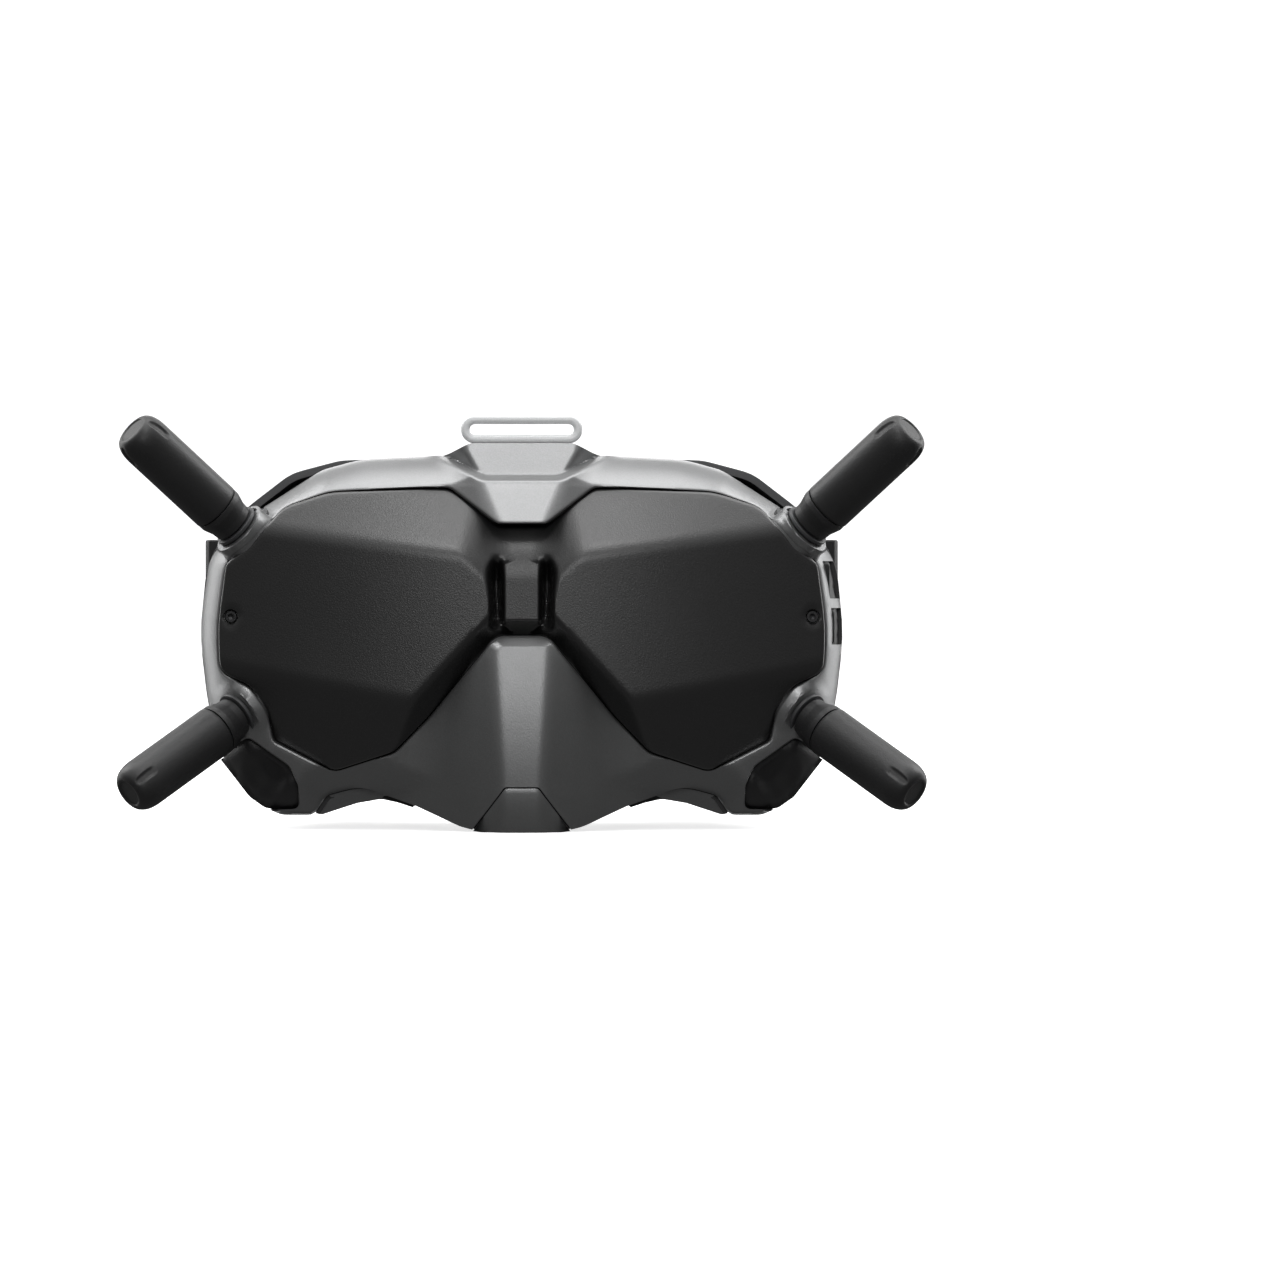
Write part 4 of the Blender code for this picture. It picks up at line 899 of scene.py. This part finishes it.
def build_loop():
    """Strap ring of round bar with half-round ends."""
    path = []
    half = LOOP_WIDTH / 2 - LOOP_BAR - LOOP_RISE / 2
    middle = LOOP_AXIS[2] + LOOP_RISE / 2
    for side in (1, -1):
        for step in range(25):
            angle = math.radians((90 if side > 0 else -90) - 7.5 * step)
            path.append((side * half + LOOP_RISE / 2 * math.cos(angle),
                         middle + LOOP_RISE / 2 * math.sin(angle)))
    path = spaced(path, 0.45)
    count = len(path)
    sides = 40
    points = []
    for index in range(count):
        run = Vector(path[(index + 1) % count] - path[index - 1]).normalized()
        for step in range(sides):
            angle = 2 * math.pi * step / sides
            out = LOOP_BAR * math.copysign(abs(math.cos(angle)) ** 0.8, math.cos(angle))
            deep = LOOP_BAR * math.copysign(abs(math.sin(angle)) ** 0.8, math.sin(angle))
            points.append((path[index][0] - run.y * out, LOOP_AXIS[1] + deep, path[index][1] + run.x * out))
    ring = mesh_object("strap_ring_skin", points, ring_faces(count, sides, True), "loop_grey",
                       "strap_loop", 60.0)
    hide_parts("top_strap_loop")


def taper(loop, depth):
    """The rear casing's outline at a depth, narrowed toward the back."""
    share = (depth - REAR_FRONT) / (REAR_BACK - REAR_FRONT)
    scale = 1.0 + (REAR_TAPER - 1.0) * share
    loop = np.array(loop)
    return np.stack([loop[:, 0] * scale, TAPER_CENTRE + (loop[:, 1] - TAPER_CENTRE) * scale], axis=1)


REAR_LOOP = spaced(mirrored(rounded(REAR_EDGE, 3.0)), 1.3)
REAR_WALL = 2.2
PLATE_FRONT = REAR_BACK + GAP
PLATE_BACK = PLATE_FRONT + 2.5
TOP_HOLES = {"five_way_base": 6.2, "record_button": 3.6, "back_button": 3.6}
SIDE_NODES = ("channel_display", "usb_port", "card_slot", "link_button", "power_port", "audio_port")


def build_rear_casing():
    """Casing with soft edges, a parting line, and openings for the buttons, ports and knobs."""
    steps = [(0.0, 0.5), (0.12, 0.15), (0.5, 0.0), (5.6, 0.0), (5.7, 0.3), (6.0, 0.3), (6.1, 0.0),
             (14.0, 0.0), (25.0, 0.0), (34.7, 0.0), (35.2, 0.15), (35.5, 0.45), (35.65, 0.9)]
    rings = [(offset(taper(REAR_LOOP, REAR_FRONT + run), -inset), REAR_FRONT + run) for run, inset in steps]
    rings += [(offset(taper(REAR_LOOP, depth), -REAR_WALL), depth)
              for depth in (REAR_BACK - 0.05, REAR_FRONT)]
    points, faces = swept(rings, 1)
    faces = faces[:-2]
    count = len(REAR_LOOP)
    last = (len(rings) - 1) * count
    faces += [(last + step, last + (step + 1) % count, (step + 1) % count, step) for step in range(count)]
    cutters = []
    for node, radius in TOP_HOLES.items():
        low, high = box_mm(node)
        base = ((low[0] + high[0]) / 2, (low[1] + high[1]) / 2, 0.0)
        hole = [(0, 90.0), (radius, 90.0), (radius, 112.0), (0, 112.0)]
        cutters.append(raw_object("cut_" + node, *turned(hole, 64, base)))
    for node in SIDE_NODES:
        low, high = box_mm(node)
        loop = rounded_box(low[1] - GAP, high[1] + GAP, low[2] - GAP, high[2] + GAP, 0.9)
        side = 1 if low[0] > 0 else -1
        middle = (low[0] + high[0]) / 2
        cutters.append(raw_object("cut_" + node, *slab(loop, middle - 9.0, middle + 9.0, 0)))
    for side in (1, -1):
        points_slot, faces_slot = slab(rounded_box(24.5, 39.5, 49.5, 56.5, 3.2), 2.0, 18.0, 2)
        cutters.append(raw_object("cut_slot", side_points(points_slot, side), faces_slot))
    casing = mesh_object("rear_casing_skin", points, faces, "dark_casing", smooth=32.0, cutters=cutters)
    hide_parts("rear_housing")


def build_face_plate():
    loop = offset(taper(REAR_LOOP, REAR_BACK), -0.2)
    cutters = []
    for side in (1, -1):
        hole = [(side * LENS_CENTRE[0] + math.copysign(3.0, math.cos(a)) + 18.2 * math.cos(a),
                 LENS_CENTRE[1] + 18.2 * math.sin(a))
                for a in np.linspace(0.02, 2 * math.pi + 0.02, 96, endpoint=False)]
        cutters.append(raw_object("cut_lens", *slab(sharp_loop(hole), 70.0, 90.0, 1)))
    plate = mesh_object("face_plate_skin", *slab(loop, PLATE_FRONT, PLATE_BACK, 1, 0.5), "black_plastic",
                        cutters=cutters)
    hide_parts("face_plate")


def build_optics():
    """Lens rings, lenses and the shutters that close the knob slots from inside."""
    for side, word in SIDES:
        body = "eye_carriage_" + word
        base = (side * LENS_CENTRE[0], 0.0, LENS_CENTRE[1])
        ring = rounded(((16.25, 79.0, 0), (17.68, 79.0, 0), (17.68, 82.0, 0.5), (17.0, 82.0, 0.3),
                        (16.4, 80.4, 0.4), (16.25, 79.8, 0)))
        mesh_object("lens_ring_" + word, *turned(ring, 128, base, (0, 1, 0), True), "black_plastic", body)
        rise = [(16.0 * math.sin(a), 77.2 + 4.1 * math.cos(a)) for a in np.linspace(0.0, math.pi / 2, 26)]
        rise[0] = (0, rise[0][1])
        rise += [(16.0, 76.6), (8.0, 74.2), (0, 73.5)]
        lens = mesh_object("lens_skin_" + word, *turned(rise, 128, base, (0, 1, 0)), "lens_glass",
                           body, 50.0)
        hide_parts("lens_" + word)
        points, faces = slab(rounded_box(20.8, 43.2, 47.6, 58.4, 1.0), 14.9, 15.6, 2, 0.2)
        mesh_object("slot_shutter_" + word, side_points(points, side), faces, "black_plastic", body)


def build_controls():
    """Turned buttons on top: five-way control, record and back."""
    ends = {
        "five_way_cap": ("five_way_cap_body", lambda r, low, high: (
            (0, low, 0), (r - 0.25, low, 0.2), (r, low + 1.1, 0.5), (r - 0.9, high - 0.15, 0.7),
            (r - 2.4, high, 0.6), (r - 3.2, high - 0.45, 0.8), (0, high - 0.7, 0))),
        "record_button": ("record_button_body", button_profile),
        "back_button": ("back_button_body", button_profile),
        "five_way_base": ("goggles", lambda r, low, high: (
            (0, low, 0), (r, low, 0), (r, high, 0.3), (r - 1.0, high, 0.2), (r - 1.0, low + 1.4, 0),
            (0, low + 1.4, 0))),
    }
    for node, (body, profile_of) in ends.items():
        low, high = box_mm(node)
        centre = ((low[0] + high[0]) / 2, (low[1] + high[1]) / 2, 0.0)
        profile = rounded(profile_of((high[0] - low[0]) / 2, low[2], high[2]), 9.0)
        item = mesh_object("turned_" + node, *turned(profile, 96, centre), "black_plastic", body)
        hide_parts(node)


def button_profile(r, low, high):
    face = r - 1.3
    return ((0, low, 0), (r, low, 0), (r, low + 1.4, 0.1), (face, low + 1.4, 0), (face, high - 0.5, 0.6),
            (face - 0.6, high, 0.6), (0, high - 0.15, 0))


def build_anchors():
    """Strap anchors: a thick tab on each side with a slot for the strap's hook."""
    plan = ((88.0, 58.0, 0.9), (90.3, 58.0, 1.2), (91.6, 60.2, 1.5), (91.6, 87.6, 1.6), (90.4, 90.0, 0.9),
            (88.6, 90.0, 0.7), (88.6, 72.0, 1.2), (87.2, 70.0, 1.2), (87.2, 60.0, 0.8))
    for side, word in SIDES:
        hole = slab(rounded_box(79.0, 86.0, 71.6, 80.9, 1.4), 80.0, 96.0, 0)
        dish = slab(rounded_box(61.0, 75.5, 71.8, 80.7, 1.6), 91.25, 94.0, 0)
        cutters = [raw_object("cut_hook", side_points(hole[0], side), hole[1]),
                   raw_object("cut_dish", side_points(dish[0], side), dish[1])]
        points, faces = slab(loop_corners(plan, 12.0), ANCHOR_LOW, ANCHOR_HIGH, 2, 0.6)
        anchor = mesh_object("strap_anchor_skin_" + word, side_points(points, side), faces, "black_plastic",
                             cutters=cutters)
        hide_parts("strap_anchor_" + word)


def foam_back(x):
    share = np.minimum(1.0, np.abs(x) / FOAM_HALF_WIDTH)
    return FOAM_MIDDLE_BACK + (FOAM_SIDE_BACK - FOAM_MIDDLE_BACK) * share * share


def build_foam():
    """Face cushion: a fabric skin over foam, glued at the plate and pressed out a little from inside."""
    outline = spaced(offset(taper(REAR_LOOP, REAR_BACK), -0.9), 4.6)
    hole = spaced(mirrored(rounded(FOAM_HOLE)), 4.6)
    edge_round = 7.0
    rows = 7
    rings = [offset(outline, -1.2), offset(hole, 1.2)]
    flat, faces = patch(outline, [hole], rings, 4.6)
    rim_distance = np.minimum(edge_distance(flat, outline), edge_distance(flat, hole))
    back = foam_back(flat[:, 0]) - 0.62 * roll_off(rim_distance, edge_round)
    count = len(flat)
    points = [(x, depth, z) for (x, z), depth in zip(flat, back)]
    points += [(x, FOAM_FRONT, z) for x, z in flat]
    open_sides = open_edges(faces)
    columns = {}
    for index in sorted({i for side in open_sides for i in side}):
        column = [index]
        for row in range(1, rows):
            share = row / rows
            column.append(len(points))
            points.append((flat[index][0], back[index] * (1 - share) + FOAM_FRONT * share, flat[index][1]))
        columns[index] = column + [index + count]
    solid = [tuple(int(k) for k in face) for face in faces]
    solid += [tuple(int(k) + count for k in face)[::-1] for face in faces]
    for one, two in open_sides:
        for row in range(rows):
            solid.append((columns[one][row], columns[two][row],
                          columns[two][row + 1], columns[one][row + 1]))
    foam = mesh_object("foam_cushion", points, solid, "face_foam", smooth=180.0)
    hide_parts("face_foam")
    press_out(foam)
    rounder = foam.modifiers.new("soft", "SUBSURF")
    rounder.levels = 2
    rounder.render_levels = 2


def press_out(item):
    """Let the fabric skin swell against its glued base, then keep the swelling small."""
    glued = item.vertex_groups.new(name="glued")
    base_level = (FOAM_FRONT - MID_DEPTH + 1.5) * MM
    glued.add([v.index for v in item.data.vertices if v.co.y < base_level], 1.0, "REPLACE")
    before = np.array([v.co[:] for v in item.data.vertices])
    cloth = item.modifiers.new("swell", "CLOTH")
    cloth.settings.quality = 6
    cloth.settings.mass = 0.3
    cloth.settings.tension_stiffness = 18.0
    cloth.settings.compression_stiffness = 18.0
    cloth.settings.shear_stiffness = 6.0
    cloth.settings.bending_stiffness = 0.4
    cloth.settings.use_pressure = True
    cloth.settings.uniform_pressure_force = 4.0
    cloth.settings.vertex_group_mass = "glued"
    cloth.settings.effector_weights.gravity = 0.0
    cloth.collision_settings.use_collision = False
    scene = bpy.context.scene
    for frame_number in range(1, SWELL_FRAMES + 1):
        scene.frame_set(frame_number)
    graph = bpy.context.evaluated_depsgraph_get()
    after = np.array([v.co[:] for v in item.evaluated_get(graph).data.vertices])
    item.modifiers.remove(cloth)
    scene.frame_set(1)
    moved = after - before
    reach = np.linalg.norm(moved, axis=1, keepdims=True)
    limit = SWELL_LIMIT * MM
    moved *= limit * np.tanh(reach / limit) / np.maximum(reach, 1e-9)
    for vert, place in zip(item.data.vertices, before + moved):
        vert.co = place


def light(name, size, place, power):
    """Soft light aimed at the goggles' middle."""
    data = bpy.data.lights.new(name, "AREA")
    data.shape = "RECTANGLE"
    data.size, data.size_y = size
    data.energy = power
    item = bpy.data.objects.new(name, data)
    item.location = place
    item.rotation_euler = (Vector((0.0, 0.0, 0.06)) - Vector(place)).to_track_quat("-Z", "Y").to_euler()
    bpy.context.scene.collection.objects.link(item)


def build_stage():
    """Pale floor that curves up into a round backdrop, and soft studio lights."""
    floor_level = CAD_BOUNDS[0][2]
    profile = [(0.02, 0.0), (0.3, 0.0), (1.2, 0.0)]
    profile += [(2.2 + 0.9 * math.sin(a), 0.9 - 0.9 * math.cos(a)) for a in np.linspace(0, math.pi / 2, 24)]
    profile += [(3.1, 4.0)]
    sides = 96
    verts = [(r * math.cos(2 * math.pi * k / sides), r * math.sin(2 * math.pi * k / sides), floor_level + h)
             for r, h in profile for k in range(sides)]
    faces = [tuple(range(sides))[::-1]] + ring_faces(len(profile), sides)
    mesh = bpy.data.meshes.new("studio_floor")
    mesh.from_pydata(verts, [], faces)
    mesh.shade_smooth()
    floor = bpy.data.objects.new("studio_floor", mesh)
    bpy.context.scene.collection.objects.link(floor)
    pale = surface("studio_floor", (0.88, 0.88, 0.88), 0.8, 0, (300, 0.02), 0.005, 0.03, 0.2)
    tree = pale.node_tree
    fill(tree, tree.nodes["Principled BSDF"], Emission_Color=(1.0, 1.0, 1.0, 1.0), Emission_Strength=0.72)
    mesh.materials.append(pale)
    floor.visible_glossy = False
    floor.visible_diffuse = False
    floor.visible_shadow = False

    world = bpy.data.worlds.new("studio")
    bpy.context.scene.world = world
    world.use_nodes = True
    tree = world.node_tree
    where = tree.nodes.new("ShaderNodeTexCoord").outputs["Generated"]
    height = wire(tree, "SeparateXYZ", Vector=where).outputs["Z"]
    half = wire(tree, "MapRange", From_Min=-1.0, Value=height)
    rise = wire(tree, "ValToRGB", Fac=half.outputs["Result"])
    rise.color_ramp.elements[0].color = (0.14, 0.14, 0.14, 1.0)
    rise.color_ramp.elements[1].color = (0.9, 0.9, 0.9, 1.0)
    rise.color_ramp.elements.new(0.5).color = (0.08, 0.08, 0.08, 1.0)
    fill(tree, tree.nodes["Background"], Color=rise.outputs["Color"], Strength=1.0)
    light("top_softbox", (1.3, 0.7), (0.0, 0.1, 1.15), 8.0)
    light("upper_left", (0.6, 0.5), (-0.9, 0.4, 0.9), 4.8)
    light("upper_right", (0.6, 0.5), (0.9, 0.4, 0.9), 4.8)
    light("left_strip", (0.35, 1.0), (-0.95, 0.7, 0.25), 3.4)
    light("right_strip", (0.35, 1.0), (0.95, 0.7, 0.25), 4.0)
    light("front_fill", (0.4, 0.4), (0.0, -1.6, 0.45), 3.1)
    light("upper_front", (0.3, 0.4), (0.0, -0.85, 1.2), 3.7)
    light("rear_fill", (1.2, 0.7), (0.0, 1.9, 0.9), 7.0)


def build_camera():
    lens = 150.0
    sensor = 36.0
    frame_width = 0.3640
    distance = frame_width * lens / sensor
    data = bpy.data.cameras.new("camera")
    data.lens = lens
    data.sensor_width = sensor
    data.shift_x = 0.0924
    item = bpy.data.objects.new("camera", data)
    height = CAD_BOUNDS[0][2] + 0.0538
    front = -MID_DEPTH * MM + SHELL_BACK * MM - 0.008
    item.location = (0.0, front - distance, height)
    item.rotation_euler = (math.pi / 2, 0.0, 0.0)
    bpy.context.scene.collection.objects.link(item)
    bpy.context.scene.camera = item
    bpy.context.scene.view_settings.view_transform = "Standard"


FINISHES = {
    "steel": ("guide_rod", "radio_shield", "five_way_yoke", "five_way_stem"),
    "screen_glass": ("channel_display", "proximity_window", "display_panel_left", "display_panel_right"),
    "aluminium": ("heat_sink",),
    "circuit_board": ("main_board",),
}


def dress_cad():
    """Give the CAD nodes that stay soft edges and a procedural finish."""
    chosen = {name: slot for slot, names in FINISHES.items() for name in names}
    for name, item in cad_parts.items():
        if item.hide_render:
            continue
        item.data.materials.clear()
        item.data.materials.append(MATERIALS[chosen.get(name, "black_plastic")])
        weld = item.modifiers.new("weld", "WELD")
        weld.merge_threshold = 0.000002
        flat = item.modifiers.new("flat", "DECIMATE")
        flat.decimate_type = "DISSOLVE"
        flat.angle_limit = math.radians(1.0)
        edge = item.modifiers.new("edge", "BEVEL")
        edge.width = 0.00018
        edge.segments = 2
        edge.limit_method = "ANGLE"
        edge.angle_limit = math.radians(35.0)
        edge.use_clamp_overlap = True
        edge.harden_normals = True


build_camera()
build_stage()
build_shell()
build_lining()
build_block_back()
build_visor()
build_small_front()
build_lower_covers()
build_screws()
build_antennas()
build_loop()
build_keys()
build_controls()
build_rear_casing()
build_face_plate()
build_optics()
build_anchors()
build_foam()
dress_cad()
